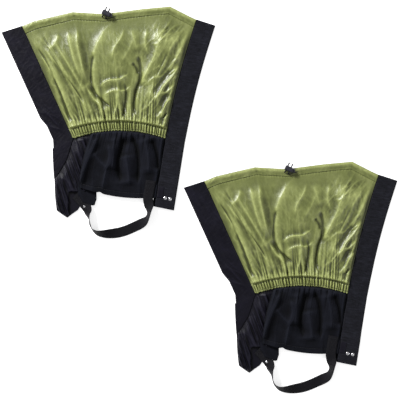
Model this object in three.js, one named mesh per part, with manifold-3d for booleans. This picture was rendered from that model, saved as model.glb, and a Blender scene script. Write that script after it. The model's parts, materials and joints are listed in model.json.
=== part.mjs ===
// A pair of hiking gaiters, opened out and laid flat with the outside up.
// Millimetres, +Z up. The origin is the centre of the pair's footprint on the ground.
// Each gaiter has a frame of its own: origin midway between the ankle corners,
// +Y towards the knee, +X towards the closure strip.
import * as THREE from "three";
import { mergeVertices } from "three/addons/utils/BufferGeometryUtils.js";
import Module from "manifold-3d";

const wasm = await Module();
wasm.setup();

// ---- Driving dimensions ----
const GAP = 0.3; // between pieces that touch
const PAIR_CLEAR = 16; // spare room between the two knee spans, side by side
const PAIR_SHIFT = -310; // the near gaiter lies lower

const KNEE_SPAN = 348; // seam to seam at the knee end
const KNEE_SHIFT = -20; // knee centre from the ankle centre
const KNEE_LEFT = 225; // knee corners above the ankle corners
const KNEE_RIGHT = 238;
const KNEE_CROWN = [[0, 0], [0.07, 9], [0.29, 24], [0.47, 18], [0.69, 25], [0.85, 28], [0.96, 7], [1, 0]];
const ANKLE_SPAN = 184;
const ANKLE_CROWN = 16;
const SEAM_BOW = 4.5; // the right seam curves inwards
const BOOT_DROP = 136; // ankle corner down to the end of the right seam
const BOOT_INSET = 22; // that end, inwards of the ankle corner
const CLOTH = 3; // loft of the crinkled upper panel

const HEM_DEPTH = 15;
const HEM_WALL = 0.6;
const CORD = 2.5; // drawcord diameter
const CASING_DEPTH = 18;
const CASING_HEIGHT = 5.8;
const ELASTIC = { width: 12, thickness: 1.2 };

const LOWER_LOFT = 7.2; // gathered lower panel
const LOWER_HEM = 10;
const PLEAT_THICKNESS = 1;
const PLEAT_CLEAR = 20.1; // the pleat layer ends this far above the strap's swing line

const FLAP_WIDTH = 43;
const FLAP_STEP = 5.5; // the flap narrows above the ankle
const FLAP_CLOTH = 1;
const TAIL_DROP = 158; // ankle corner down to the tip
const TAPE_THICKNESS = 1.2;
const HOOK_TAPE_WIDTH = 34;

const STRIP_WIDTH = 40;
const STRIP_END_DROP = 1.6; // the strip's outer corner lies lower than its seam end
const LOOP_WIDTH = 38;
const BACKING = 1;

const WEB_WIDTH = 20;
const WEB = 1.2; // webbing thickness
const WEB_FOOT = 0.6; // the webbing's height over the ground where it starts to swing
const TAB_CLEAR = 3; // from the webbing to the right fold line, so that the folded strip passes
const RIVET = { head: 3.5, shank: 1.4, tail: 2.3, dome: 1.5, pitch: 10 };
const HOOK = { width: 18, plate: 9, tongue: 8, reach: 12, gap: 1.4, steel: 0.8, back: 7 };

const LOCK = { length: 17.5, depth: 10, height: 9, wall: 1, floor: 1.7, pitch: 7.2, tilt: -25 };
const BUTTON = { proud: 3.5, travel: 1.5, inner: 1.6 };
const LOCK_AT = 0.49; // along the knee edge
const LOCK_DEPTH = 2; // below the knee edge
const STUB = 7; // cord beyond the lock

// ---- Sizes that follow ----
const hemHeight = CORD + 2 * (HEM_WALL + GAP);
const flapBase = TAPE_THICKNESS + GAP;
const flapTop = flapBase + FLAP_CLOTH;
const webBase = flapTop + GAP;
const pleatBase = webBase + WEB + GAP;
const lowerCut = pleatBase + PLEAT_THICKNESS + GAP;
const hookHeight = 2 * HOOK.steel + HOOK.gap;
const stripTop = BACKING + GAP + TAPE_THICKNESS;
const foldHeight = Math.max(hemHeight, CASING_HEIGHT) + GAP; // both fold lines run over the hems

const swingLine = -BOOT_DROP - 9; // the strap swings about this line
const pairOffset = [KNEE_SPAN + PAIR_CLEAR, PAIR_SHIFT];

const ankleLeft = [-ANKLE_SPAN / 2, 0];
const ankleRight = [ANKLE_SPAN / 2, 0];
const kneeLeft = [KNEE_SHIFT - KNEE_SPAN / 2, KNEE_LEFT];
const kneeRight = [KNEE_SHIFT + KNEE_SPAN / 2, KNEE_RIGHT];
const bootRight = [ankleRight[0] - BOOT_INSET, -BOOT_DROP];

// ---- Plane helpers: points are [x, y] ----
const lerp = (a, b, t) => a.map((value, i) => value + (b[i] - value) * t);
const minus = (a, b) => [a[0] - b[0], a[1] - b[1]];
const step = (point, direction, length) => point.map((value, i) => value + direction[i] * length);
const unit = (v) => [v[0] / Math.hypot(...v), v[1] / Math.hypot(...v)];
const leftOf = (v) => [-v[1], v[0]];
const rightOf = (v) => [v[1], -v[0]];
const range = (count, from = 0, to = 1) =>
  Array.from({ length: count + 1 }, (_, i) => from + ((to - from) * i) / count);

// An outline with every edge moved outwards by the margin.
function grow(points, margin) {
  const turn = THREE.ShapeUtils.area(points.map((p) => new THREE.Vector2(...p))) > 0 ? margin : -margin;
  return points.map((p, i) => {
    const before = rightOf(unit(minus(p, points.at(i - 1))));
    const after = rightOf(unit(minus(points[(i + 1) % points.length], p)));
    const corner = 1 + before[0] * after[0] + before[1] * after[1];
    return step(p, step(before, after, 1), turn / corner);
  });
}

function table(rows, x) {
  const next = Math.max(1, rows.findIndex((row) => row[0] >= x));
  const [a, b] = [rows[next - 1], rows[next]];
  return a[1] + ((b[1] - a[1]) * (x - a[0])) / (b[0] - a[0]);
}

// ---- The upper panel's own grid: u from seam to seam, v from ankle to knee ----
const leftSeam = (v) => lerp(ankleLeft, kneeLeft, v);

function rightSeam(v) {
  const inwards = leftOf(unit(minus(kneeRight, ankleRight)));
  return step(lerp(ankleRight, kneeRight, v), inwards, SEAM_BOW * Math.sin(Math.PI * v));
}

function upper(u, v) {
  const [x, y] = lerp(leftSeam(v), rightSeam(v), u);
  return [x, y + table(KNEE_CROWN, u) * v + 4 * u * (1 - u) * ANKLE_CROWN * (1 - v)];
}

function rise(u) {
  return upper(u, 1)[1] - upper(u, 0)[1];
}

const fromKnee = (u, depth) => upper(u, 1 - depth / rise(u));
const fromAnkle = (u, depth) => upper(u, depth / rise(u));

// ---- Solids ----
function closed(geometry) {
  const whole = geometry.index ? geometry : mergeVertices(geometry);
  const position = whole.getAttribute("position");
  const index = Array.from(whole.index.array);
  const corner = (i) => new THREE.Vector3().fromBufferAttribute(position, index[i]);
  let volume = 0;
  for (let i = 0; i < index.length; i += 3) {
    volume += corner(i).dot(corner(i + 1).cross(corner(i + 2)));
  }
  whole.setIndex(volume < 0 ? index.reverse() : index);
  return whole;
}

// Rings of equal length joined one to the next, with flat caps. The outline is a ring
// drawn flat, and gives the caps' triangles.
function loft(rings, outline) {
  const size = outline.length;
  const points = rings.flat().map((p) => new THREE.Vector3(...p));
  const geometry = new THREE.BufferGeometry().setFromPoints(points);
  const index = [];
  for (let r = 0; r + 1 < rings.length; r += 1) {
    for (let i = 0; i < size; i += 1) {
      const a = r * size + i;
      const b = r * size + ((i + 1) % size);
      index.push(a, b, b + size, a, b + size, a + size);
    }
  }
  const flat = outline.map((p) => new THREE.Vector2(...p));
  const turn = THREE.ShapeUtils.isClockWise(flat) ? -1 : 1;
  const last = (rings.length - 1) * size;
  for (const [a, b, c] of THREE.ShapeUtils.triangulateShape(flat, [])) {
    const cap = turn > 0 ? [a, c, b] : [a, b, c];
    index.push(...cap, ...cap.map((i) => i + last).reverse());
  }
  geometry.setIndex(index);
  return closed(geometry);
}

// A section of [depth, z] points swept over the stations; place turns a station and a
// depth into a point of the plane.
function sweep(stations, section, place) {
  const turn = THREE.ShapeUtils.area(section.map((p) => new THREE.Vector2(...p))) > 0;
  const outline = turn ? section : [...section].reverse();
  const rings = stations.map((s) => outline.map(([depth, z]) => [...place(s, depth), z]));
  return loft(rings, outline);
}

const slab = (d0, d1, z0, z1) => [[d0, z0], [d1, z0], [d1, z1], [d0, z1]];

function plate(points, z0, z1) {
  const shape = new THREE.Shape(points.map((p) => new THREE.Vector2(...p)));
  const geometry = new THREE.ExtrudeGeometry(shape, { depth: z1 - z0, bevelEnabled: false });
  return bare(geometry.translate(0, 0, z0));
}

// Only positions, with shared corners merged.
function bare(geometry) {
  geometry.deleteAttribute("normal");
  geometry.deleteAttribute("uv");
  return mergeVertices(geometry);
}

function toSolid(geometry) {
  const whole = closed(geometry);
  const vertProperties = new Float32Array(whole.getAttribute("position").array);
  const triVerts = new Uint32Array(whole.index.array);
  return new wasm.Manifold(new wasm.Mesh({ numProp: 3, vertProperties, triVerts }));
}

function fromSolid(solid) {
  const mesh = solid.getMesh();
  const geometry = new THREE.BufferGeometry();
  geometry.setAttribute("position", new THREE.BufferAttribute(new Float32Array(mesh.vertProperties), 3));
  geometry.setIndex(Array.from(mesh.triVerts));
  return geometry;
}

function cut(geometry, ...tools) {
  const result = tools.reduce((solid, tool) => solid.subtract(toSolid(tool)), toSolid(geometry));
  return fromSolid(result);
}

const join = (a, b) => fromSolid(toSolid(a).add(toSolid(b)));

function box(x0, x1, y0, y1, z0, z1) {
  const geometry = new THREE.BoxGeometry(x1 - x0, y1 - y0, z1 - z0);
  return bare(geometry.translate((x0 + x1) / 2, (y0 + y1) / 2, (z0 + z1) / 2));
}

function drill(x, y, radius, z0, z1) {
  const geometry = new THREE.CylinderGeometry(radius, radius, z1 - z0, 16);
  return bare(geometry.rotateX(Math.PI / 2).translate(x, y, (z0 + z1) / 2));
}

// Flat webbing along stations [x, y, base z, tilt in degrees]; a tilted web stands on its edge.
function webbing(stations, thickness) {
  const row = range(4, -WEB_WIDTH / 2, WEB_WIDTH / 2);
  const section = [...row.map((w) => [w, -thickness / 2]), ...row.reverse().map((w) => [w, thickness / 2])];
  const rings = stations.map(([x, y, base, tilt], i) => {
    const from = stations[Math.max(0, i - 1)];
    const to = stations[Math.min(stations.length - 1, i + 1)];
    const side = leftOf(unit(minus(to, from)));
    const [c, s] = [Math.cos(THREE.MathUtils.degToRad(tilt)), Math.sin(THREE.MathUtils.degToRad(tilt))];
    const middle = base + (WEB_WIDTH * Math.abs(s)) / 2 + (thickness * c) / 2;
    return section.map(([w, t]) => [...step([x, y], side, w * c - t * s), middle + w * s + t * c]);
  });
  return loft(rings, section);
}

// Stations on a smooth curve through the given ones, so that a twist is spread evenly.
function smoothed(stations, parts) {
  const curve = (pick) => new THREE.CatmullRomCurve3(stations.map(pick), false, "catmullrom", 0.5);
  const place = curve(([x, y, base]) => new THREE.Vector3(x, y, base));
  const twist = curve(([, , , tilt]) => new THREE.Vector3(tilt, 0, 0));
  return range((stations.length - 1) * parts).map((t) => {
    const [point, tilt] = [place.getPoint(t), twist.getPoint(t).x];
    return [point.x, point.y, Math.max(0, point.z), tilt];
  });
}

function tube(points, diameter, steps) {
  const curve = new THREE.CatmullRomCurve3(points.map((p) => new THREE.Vector3(...p)), false, "centripetal");
  const ring = range(7, 0, 7 / 8).map((t) => {
    return new THREE.Vector2(Math.cos(2 * Math.PI * t), Math.sin(2 * Math.PI * t)).multiplyScalar(diameter / 2);
  });
  return bare(new THREE.ExtrudeGeometry(new THREE.Shape(ring), { steps, extrudePath: curve }));
}

// ---- Materials ----
const finish = (color, roughness, metalness = 0) =>
  new THREE.MeshStandardMaterial({ color, roughness, metalness });
const GREEN = finish(0x7f8a50, 0.45);
const FLAP_BLACK = finish(0x24242e, 0.5);
const MATT_BLACK = finish(0x16171c, 0.9);
const TAPE_BLACK = finish(0x1c1d23, 0.95);
const WEB_BLACK = finish(0x1e1e23, 0.8);
const PLASTIC = finish(0x1a1b24, 0.4);
const ELASTIC_WHITE = finish(0xd8d6cf, 0.8);
const STEEL = finish(0xc8c8cc, 0.3, 1);

// ---- Upper panel, hem and casing ----
const across = range(20, GAP / KNEE_SPAN, 1 - GAP / KNEE_SPAN);

function upperPanel() {
  const [u0, u1] = [across[0], across.at(-1)];
  const sides = [0.12, 0.3, 0.5, 0.7, 0.85];
  const outline = [
    ...across.map((u) => fromAnkle(u, CASING_DEPTH + GAP)),
    ...sides.map((v) => upper(u1, v)),
    ...across.map((u) => fromKnee(u, HEM_DEPTH + GAP)).reverse(),
    ...sides.map((v) => upper(u0, v)).reverse(),
  ];
  return plate(outline, 0, CLOTH);
}

// The hem is a fold open towards the panel, with the drawcord in its bend. A buttonhole
// in its upper leg lets the cord out under the cord lock.
function topHem() {
  const [t, h, d] = [HEM_WALL, hemHeight, HEM_DEPTH];
  const section = [
    [d, 0], [1.5, 0], [0, 1.5], [0, h - 1.5], [1.5, h], [d, h],
    [d, h - t], [1.5 + t, h - t], [t, h - 1.5 - t], [t, 1.5 + t], [1.5 + t, t], [d, t],
  ];
  const fold = sweep(across, section, fromKnee);
  const slit = LOCK.pitch / 2 + 2.2 * CORD;
  const middleOfHem = hemHeight / 2 - lockCentre[2];
  const hole = lockFrame(
    box(-slit, slit, -LOCK.depth / 2 - 2.6 * CORD, -LOCK.depth / 2, middleOfHem, 0),
  );
  return cut(fold, hole);
}

function ankleCasing() {
  const [h, wall] = [CASING_HEIGHT, (CASING_HEIGHT - ELASTIC.thickness) / 2 - GAP];
  const side = (CASING_DEPTH - ELASTIC.width) / 2 - GAP;
  const outside = [
    [1, 0], [CASING_DEPTH - 1, 0], [CASING_DEPTH, 1], [CASING_DEPTH, h - 1],
    [CASING_DEPTH - 1, h], [1, h], [0, h - 1], [0, 1],
  ];
  const tunnel = sweep([-0.02, ...across, 1.02], slab(side, CASING_DEPTH - side, wall, h - wall), fromAnkle);
  return cut(sweep(across, outside, fromAnkle), tunnel);
}

function ankleElastic() {
  const side = (CASING_DEPTH - ELASTIC.width) / 2;
  const base = (CASING_HEIGHT - ELASTIC.thickness) / 2;
  return sweep(across, slab(side, side + ELASTIC.width, base, base + ELASTIC.thickness), fromAnkle);
}

// ---- Cord lock, in a frame of its own: x along the body, y along the cords ----
const lockCentre = [...fromKnee(LOCK_AT, LOCK_DEPTH), hemHeight + GAP + LOCK.height / 2];
const lockTurn = THREE.MathUtils.degToRad(LOCK.tilt);
const cordDirection = [-Math.sin(lockTurn), Math.cos(lockTurn)];

const lockFrame = (geometry) => geometry.rotateZ(lockTurn).translate(...lockCentre);

function lockPoint(x, y, z) {
  const [c, s] = [Math.cos(lockTurn), Math.sin(lockTurn)];
  return [lockCentre[0] + x * c - y * s, lockCentre[1] + x * s + y * c, z];
}

const holeRadius = CORD / 2 + GAP;
const slotInner = -LOCK.pitch / 2 - holeRadius;
const slotOuter = LOCK.pitch / 2 + holeRadius + BUTTON.travel;
const buttonInner = slotInner - BUTTON.inner;
const bodyOuter = slotOuter;
const bodyInner = bodyOuter - LOCK.length;

function lockBody() {
  const [d, h] = [LOCK.depth / 2, LOCK.height / 2];
  const [r, n] = [3, 4];
  const arc = (cx, cy, from) => range(n, from, from + Math.PI / 2).map((a) => {
    return [cx + r * Math.cos(a), cy + r * Math.sin(a)];
  });
  const section = [
    ...arc(d - r, h - r, 0), ...arc(r - d, h - r, Math.PI / 2),
    ...arc(r - d, r - h, Math.PI), ...arc(d - r, r - h, -Math.PI / 2),
  ];
  const rings = [[bodyInner, 0.8], [bodyInner + 1.5, 1], [bodyOuter, 1]].map(([x, scale]) => {
    return section.map(([y, z]) => [x, y * scale, z * scale]);
  });
  const cavity = box(
    bodyInner + LOCK.wall, bodyOuter + 1, LOCK.wall - d, d - LOCK.wall, LOCK.floor - h, h - LOCK.floor,
  );
  const bores = [-1, 1].map((side) => {
    const bore = new THREE.CylinderGeometry(holeRadius, holeRadius, 2 * LOCK.depth, 16);
    return bare(bore.translate((side * LOCK.pitch) / 2, 0, 0));
  });
  return lockFrame(cut(loft(rings, section), cavity, ...bores));
}

function lockButton() {
  const [d, h] = [LOCK.depth / 2 - LOCK.wall - GAP, LOCK.height / 2 - LOCK.floor - GAP];
  const block = box(buttonInner, bodyOuter + BUTTON.proud, -d, d, -h, h);
  const slot = box(slotInner, slotOuter, -LOCK.depth, LOCK.depth, -holeRadius, holeRadius);
  return lockFrame(cut(block, slot));
}

class Helix extends THREE.Curve {
  constructor(radius, from, to, turns) {
    super();
    Object.assign(this, { radius, from, to, turns });
  }

  getPoint(t, target = new THREE.Vector3()) {
    const angle = 2 * Math.PI * this.turns * t;
    const x = this.from + (this.to - this.from) * t;
    return target.set(x, this.radius * Math.cos(angle), this.radius * Math.sin(angle));
  }
}

function lockSpring() {
  const wire = 0.4;
  const margin = GAP + wire / 2;
  const path = new Helix(1.9, bodyInner + LOCK.wall + margin, buttonInner - margin, 3);
  const ring = range(5, 0, 5 / 6).map((t) => {
    return new THREE.Vector2(Math.cos(2 * Math.PI * t), Math.sin(2 * Math.PI * t)).multiplyScalar(wire / 2);
  });
  return lockFrame(bare(new THREE.ExtrudeGeometry(new THREE.Shape(ring), { steps: 36, extrudePath: path })));
}

// Each half of the drawcord runs in the hem's bend from the seam to the buttonhole, turns
// up, and passes through the lock. Side -1 is the half that comes from the left seam.
function drawcord(side) {
  const middle = hemHeight / 2;
  const x = (side * LOCK.pitch) / 2;
  const entry = -LOCK.depth / 2;
  const end = side < 0 ? 0 : 1;
  const run = [0.01, 0.08, 0.15, 0.3, 0.5, 0.7, 0.9].map((t) => {
    return [...fromKnee(end + (LOCK_AT - end) * t, 1.6 * CORD + HEM_WALL + 1.2 * CORD * t * t), middle];
  });
  const rising = [
    lockPoint(x + side * 1.6 * CORD, entry - 1.1 * CORD, middle),
    lockPoint(x + side * 0.6 * CORD, entry - 1.4 * CORD, middle + 0.3 * CORD),
    lockPoint(x, entry - 1.5 * CORD, middle + 1.5 * CORD),
    lockPoint(x, entry - 0.8 * CORD, lockCentre[2]),
  ];
  const through = [0, 0.5, 1].map((t) => {
    return lockPoint(x, entry + GAP + t * (LOCK.depth + STUB), lockCentre[2]);
  });
  return tube([...run, ...rising, ...through], CORD, 44);
}

// ---- Lower panel over the boot ----
const pleatStart = 0.2; // along the ankle edge: the margin left of it is folded under
const lowerTop = (t) => fromAnkle(pleatStart + t * (1 - GAP / ANKLE_SPAN - pleatStart), -GAP);
const foldTop = lowerTop(0);
const foldFoot = [ankleLeft[0] + 13, -0.72 * BOOT_DROP];
const hemRight = step(bootRight, unit(minus(ankleRight, bootRight)), 17);
const pleatRight = ankleLeft[0] + 47;

function bootHem(t) {
  const [x, y] = lerp(foldFoot, step(hemRight, [-1, 0], GAP), t);
  return [x, y - 8 * Math.sin(Math.PI * t)];
}

function lowerPlace(t, depth) {
  const [top, foot] = [lowerTop(t), bootHem(t)];
  return lerp(foot, top, depth / (top[1] - foot[1]));
}

function pleatOutline() {
  const [left, right] = [foldFoot[0], pleatRight];
  const foot = swingLine + PLEAT_CLEAR;
  const top = -BOOT_DROP * 0.45;
  return [
    [left, foldFoot[1]], [left + 16, top], [right, top], [right, foot],
    [right - 12, foot - 5], [left + 3, foot - 8], [left, foot + 6],
  ];
}

function lowerPanel() {
  const rings = range(16).map((t) => {
    const [low, high] = [lowerPlace(t, LOWER_HEM + GAP), lowerTop(t)];
    return [[...low, 0], [...high, 0], [...high, LOWER_LOFT], [...low, LOWER_LOFT]];
  });
  return cut(loft(rings, slab(0, 1, 0, 1)), plate(grow(pleatOutline(), GAP), -1, lowerCut));
}

function lowerHem() {
  const fold = sweep(range(16), slab(0, LOWER_HEM, 0, LOWER_LOFT), lowerPlace);
  return cut(fold, plate(grow(pleatOutline(), GAP), -1, lowerCut));
}

const pleatLayer = () => plate(pleatOutline(), pleatBase, pleatBase + PLEAT_THICKNESS);

// ---- Storm flap on the left edge ----
const flapOut = leftOf(unit(minus(kneeLeft, ankleLeft)));
const flapStart = GAP / KNEE_LEFT;

function flapPlace(v, depth) {
  return step(leftSeam(v), flapOut, depth);
}

function flapBand(inner, outer, z0, z1) {
  const notch = [[0, 0], [0.06, 1], [0.18, 1], [0.26, 0], [1, 0]];
  const rings = [flapStart, 0.06, 0.18, 0.26, 0.5, 1].map((v) => {
    const [a, b] = [flapPlace(v, inner), flapPlace(v, outer - FLAP_STEP * table(notch, v))];
    return [[...a, z0], [...b, z0], [...b, z1], [...a, z1]];
  });
  return loft(rings, slab(0, 1, 0, 1));
}

const tapeInset = (FLAP_WIDTH - HOOK_TAPE_WIDTH) / 2;
const stormFlap = () => flapBand(GAP, FLAP_WIDTH, flapBase, flapTop);
const hookTape = () => flapBand(tapeInset, FLAP_WIDTH - tapeInset, 0, TAPE_THICKNESS);

function flapTail() {
  const outer = flapPlace(0, FLAP_WIDTH);
  const tip = [ankleLeft[0] - 12, -TAIL_DROP];
  const shoulder = [tip[0] - 22, tip[1] + 14];
  const points = [
    outer, [outer[0] + 3, -0.42 * TAIL_DROP], shoulder, tip,
    [tip[0] + 20, tip[1] + 14], [foldFoot[0] - GAP, tip[1] + 20], step(foldFoot, [-1, 0], GAP),
    step(foldTop, [-1, 0], GAP), fromAnkle(pleatStart / 2, -GAP), step(ankleLeft, [0, -1], GAP),
  ];
  const foot = plate(grow(footOutline(), GAP), -1, flapBase);
  return cut(plate(points, 0, flapTop), foot, rivetHole());
}

// The tape's foot goes on below the ankle and narrows to its end.
function footOutline() {
  const [inner, outer] = [flapPlace(0, tapeInset), flapPlace(0, FLAP_WIDTH - tapeInset)];
  const end = -0.5 * TAIL_DROP;
  return [inner, outer, [outer[0] + 1, end], [outer[0] + 6, end], [outer[0] + 16, 0.6 * end]];
}

const hookTapeFoot = () => plate(footOutline(), 0, TAPE_THICKNESS);

// ---- Closure strip on the right edge: t from -1 at the boot end, over 0 at the ankle, to 1 ----
function stripInner(t) {
  return t < 0 ? lerp(ankleRight, bootRight, -t) : rightSeam(t);
}

function stripPlace(t, offset) {
  const along = unit(minus(stripInner(Math.min(1, t + 0.02)), stripInner(Math.max(-1, t - 0.02))));
  const drop = t < 0 ? (STRIP_END_DROP * t * offset) / STRIP_WIDTH : 0;
  const [x, y] = step(stripInner(t), rightOf(along), offset);
  return [x, y + drop];
}

const stripLift = (t) => hookHeight * THREE.MathUtils.smoothstep(-t, 0.5, 0.68) + (t < -0.5 ? GAP : 0);
const stripStations = [-1, -0.9, -0.8, -0.68, -0.6, -0.5, -0.25, 0, 0.12, 0.3, 0.5, 0.7, 0.85, 1];

function stripBand(inner, outer, base, thickness, stations = stripStations) {
  const rings = stations.map((t) => {
    const [a, b, z] = [stripPlace(t, inner), stripPlace(t, outer), base + stripLift(t)];
    return [[...a, z], [...b, z], [...b, z + thickness], [...a, z + thickness]];
  });
  return loft(rings, slab(0, 1, 0, 1));
}

const RIVET_STATION = -0.85;
const rivetOffset = (side) => STRIP_WIDTH / 2 + 4 + (side * RIVET.pitch) / 2;
const rivetPoint = (side) => stripPlace(RIVET_STATION, rivetOffset(side));
const rivetHoles = () => [-1, 1].map((side) => drill(...rivetPoint(side), RIVET.shank + GAP, -1, 20));

const closureStrip = () => cut(stripBand(GAP, STRIP_WIDTH, 0, BACKING), ...rivetHoles());

function loopTape() {
  const inset = (STRIP_WIDTH - LOOP_WIDTH) / 2;
  return cut(stripBand(inset, inset + LOOP_WIDTH, BACKING + GAP, TAPE_THICKNESS), ...rivetHoles());
}

const cornerPatch = () => stripBand(2, 14, stripTop + GAP, 0.8, [-0.86, -0.8, -0.76, -0.7]);

// ---- Rivets and lace hook ----
const plateBase = HOOK.steel + HOOK.gap;

function hookRivet(side) {
  const head = stripTop + hookHeight + 2 * GAP;
  const profile = [
    [0, head + RIVET.dome], [0.5 * RIVET.head, head + 0.85 * RIVET.dome],
    [0.87 * RIVET.head, head + 0.45 * RIVET.dome], [RIVET.head, head], [RIVET.shank, head],
    [RIVET.shank, plateBase - GAP], [RIVET.tail, plateBase - GAP],
    [0.8 * RIVET.tail, plateBase - GAP - 0.7], [0, plateBase - GAP - 0.7],
  ];
  return lathe(profile, rivetPoint(side));
}

function lathe(profile, [x, y]) {
  const points = profile.map((p) => new THREE.Vector2(...p));
  return bare(new THREE.LatheGeometry(points, 20).rotateX(Math.PI / 2).translate(x, y, 0));
}

// A plate under the two rivets, with a tongue that turns back under itself towards the knee.
function laceHook() {
  const [w, reach, steel, gap] = [HOOK.width / 2, HOOK.plate / 2 + HOOK.reach, HOOK.steel, HOOK.gap];
  const base = box(-w, w, -HOOK.plate / 2, HOOK.plate / 2, plateBase, plateBase + steel);
  const arc = (radius, from, to) => range(8, from, to).map((a) => {
    return [-reach + radius * Math.cos(a), steel + gap / 2 + radius * Math.sin(a)];
  });
  const [outerBend, innerBend] = [gap / 2 + steel, gap / 2];
  const bend = [
    [0, hookHeight], ...arc(outerBend, Math.PI / 2, 1.5 * Math.PI), [HOOK.back - reach, 0],
    [HOOK.back - reach, steel], ...arc(innerBend, 1.5 * Math.PI, Math.PI / 2), [0, plateBase],
  ];
  const shape = new THREE.Shape(bend.map((p) => new THREE.Vector2(...p)));
  const tongue = new THREE.ExtrudeGeometry(shape, { depth: HOOK.tongue, bevelEnabled: false });
  tongue.translate(0, 0, -HOOK.tongue / 2);
  const turn = new THREE.Matrix4().makeBasis(
    new THREE.Vector3(0, 1, 0), new THREE.Vector3(0, 0, 1), new THREE.Vector3(1, 0, 0),
  );
  const along = minus(rivetPoint(1), rivetPoint(-1));
  const [cx, cy] = lerp(rivetPoint(-1), rivetPoint(1), 0.5);
  const hook = join(base, bare(tongue.applyMatrix4(turn)));
  hook.rotateZ(Math.atan2(along[1], along[0])).translate(cx, cy, 0);
  return cut(hook, ...rivetHoles());
}

// ---- Instep strap and its sewn ends ----
const tabTop = LOWER_LOFT + GAP;
const leftEnd = [ankleLeft[0] + 29, swingLine];
const rightEnd = [bootRight[0] - WEB_WIDTH / 2 - TAB_CLEAR / 2, swingLine];

const strapEndLeftPath = [
  [-24.3, 32, webBase], [-16, 23.7, webBase], [-8.5, 16.2, webBase], [-4.4, 12.1, webBase - 0.4],
  [-1.1, 7.2, 1.2], [0, 3, WEB_FOOT], [0, GAP, WEB_FOOT],
].map(([x, y, base]) => [leftEnd[0] + x, swingLine + y, base, 0]);

const tabEdge = (t) => step(stripInner(t), [-1, 0], WEB_WIDTH / 2 + TAB_CLEAR);
const strapEndRightPath = [
  [...tabEdge(-0.64), tabTop, 0], [...tabEdge(-0.8), tabTop, 0], [...tabEdge(-0.9), tabTop, 0],
  [rightEnd[0], swingLine + 10, 3.5, 0], [rightEnd[0], swingLine + 3, WEB_FOOT, 0],
  [rightEnd[0], swingLine + GAP, WEB_FOOT, 0],
];

// The loop: twisted on edge at the left, flat along the bottom, twisted again at the right.
const loopPath = [
  [0, 0, 0.6, 0], [0, -2, 0.6, 0], [0.2, -5, 0.4, 10], [2, -11, 0.1, 44], [4, -18, 0, 80], [5.5, -27, 0, 90],
  [10, -36.5, 0, 82], [19.5, -43.5, 0, 62], [32, -45.6, 0, 42], [46.5, -45.1, 0, 20], [62, -43, 0, 0],
  [77.5, -38.5, 0, 0], [92.5, -32, 0, 0], [104, -26, 0, -4], [113, -19.5, 0, -14], [118.8, -12, 0.2, -24],
];

function instepStrap() {
  const route = loopPath.map(([x, y, base, tilt]) => [leftEnd[0] + x, swingLine - GAP + y, base, tilt]);
  const rightRoot = [[5, -6], [2.5, 0], [GAP, 0]].map(([drop, tilt]) => {
    return [rightEnd[0], swingLine - drop, WEB_FOOT, tilt];
  });
  return webbing(smoothed([...route, ...rightRoot], 2), WEB);
}

const strapRivetAt = step(leftEnd, unit([-9, 12]), 11);
const rivetHole = () => drill(...strapRivetAt, RIVET.shank + GAP, -1, 20);

function strapRivet() {
  const head = webBase + WEB + GAP;
  const r = 0.65 * RIVET.head;
  const profile = [
    [0, head + 0.9], [0.7 * r, head + 0.6], [r, head], [RIVET.shank, head], [RIVET.shank, 0.2], [0, 0.2],
  ];
  return lathe(profile, strapRivetAt);
}

// ---- Assembly ----
const pieces = {
  upper_panel: [upperPanel, GREEN],
  top_hem: [topHem, GREEN],
  drawcord_left: [() => drawcord(-1), WEB_BLACK],
  drawcord_right: [() => drawcord(1), WEB_BLACK],
  cord_lock_body: [lockBody, PLASTIC],
  cord_lock_button: [lockButton, PLASTIC],
  cord_lock_spring: [lockSpring, STEEL],
  ankle_casing: [ankleCasing, GREEN],
  ankle_elastic: [ankleElastic, ELASTIC_WHITE],
  lower_panel: [lowerPanel, MATT_BLACK],
  lower_hem: [lowerHem, MATT_BLACK],
  pleat_layer: [pleatLayer, MATT_BLACK],
  storm_flap: [stormFlap, FLAP_BLACK],
  storm_flap_tail: [flapTail, FLAP_BLACK],
  hook_tape: [hookTape, TAPE_BLACK],
  hook_tape_foot: [hookTapeFoot, TAPE_BLACK],
  closure_strip: [closureStrip, MATT_BLACK],
  loop_tape: [loopTape, TAPE_BLACK],
  corner_patch: [cornerPatch, FLAP_BLACK],
  inner_rivet: [() => hookRivet(-1), STEEL],
  outer_rivet: [() => hookRivet(1), STEEL],
  lace_hook: [laceHook, STEEL],
  instep_strap: [instepStrap, WEB_BLACK],
  strap_end_left: [() => cut(webbing(strapEndLeftPath, WEB), rivetHole()), WEB_BLACK],
  strap_end_right: [() => webbing(strapEndRightPath, WEB), WEB_BLACK],
  strap_rivet: [strapRivet, STEEL],
};

function gaiter(name, [x, y]) {
  const group = new THREE.Group();
  for (const [piece, [build, material]] of Object.entries(pieces)) {
    const mesh = new THREE.Mesh(closed(build()), material);
    mesh.name = `${name}_${piece}`;
    group.add(mesh);
  }
  group.position.set(x, y, 0);
  return group;
}

const pair = new THREE.Group();
pair.add(gaiter("far", [0, 0]), gaiter("near", pairOffset));
const footprint = new THREE.Box3().setFromObject(pair);
const centre = footprint.getCenter(new THREE.Vector3());
pair.position.set(-centre.x, -centre.y, 0);

// Joint lines in each gaiter's frame, and where the two frames lie in the pair's.
pair.userData = {
  frames: { far: [-centre.x, -centre.y], near: pairOffset.map((value, i) => value - centre.getComponent(i)) },
  stormFlapFold: { point: [...ankleLeft, foldHeight], axis: unit(minus(kneeLeft, ankleLeft)) },
  closureStripFold: { point: [...ankleRight, foldHeight], axis: unit(minus(bootRight, ankleRight)) },
  instepStrapSwing: { point: [0, swingLine, WEB_FOOT + WEB], axis: [-1, 0] },
  cordLockSlide: { axis: cordDirection, travel: STUB - 1 },
  cordLockPress: { axis: [-Math.cos(lockTurn), -Math.sin(lockTurn)], travel: BUTTON.travel },
};

export default pair;
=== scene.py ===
"""A pair of hiking gaiters, opened out and laid flat on a pale floor, seen from above."""
import json
import math

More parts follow.
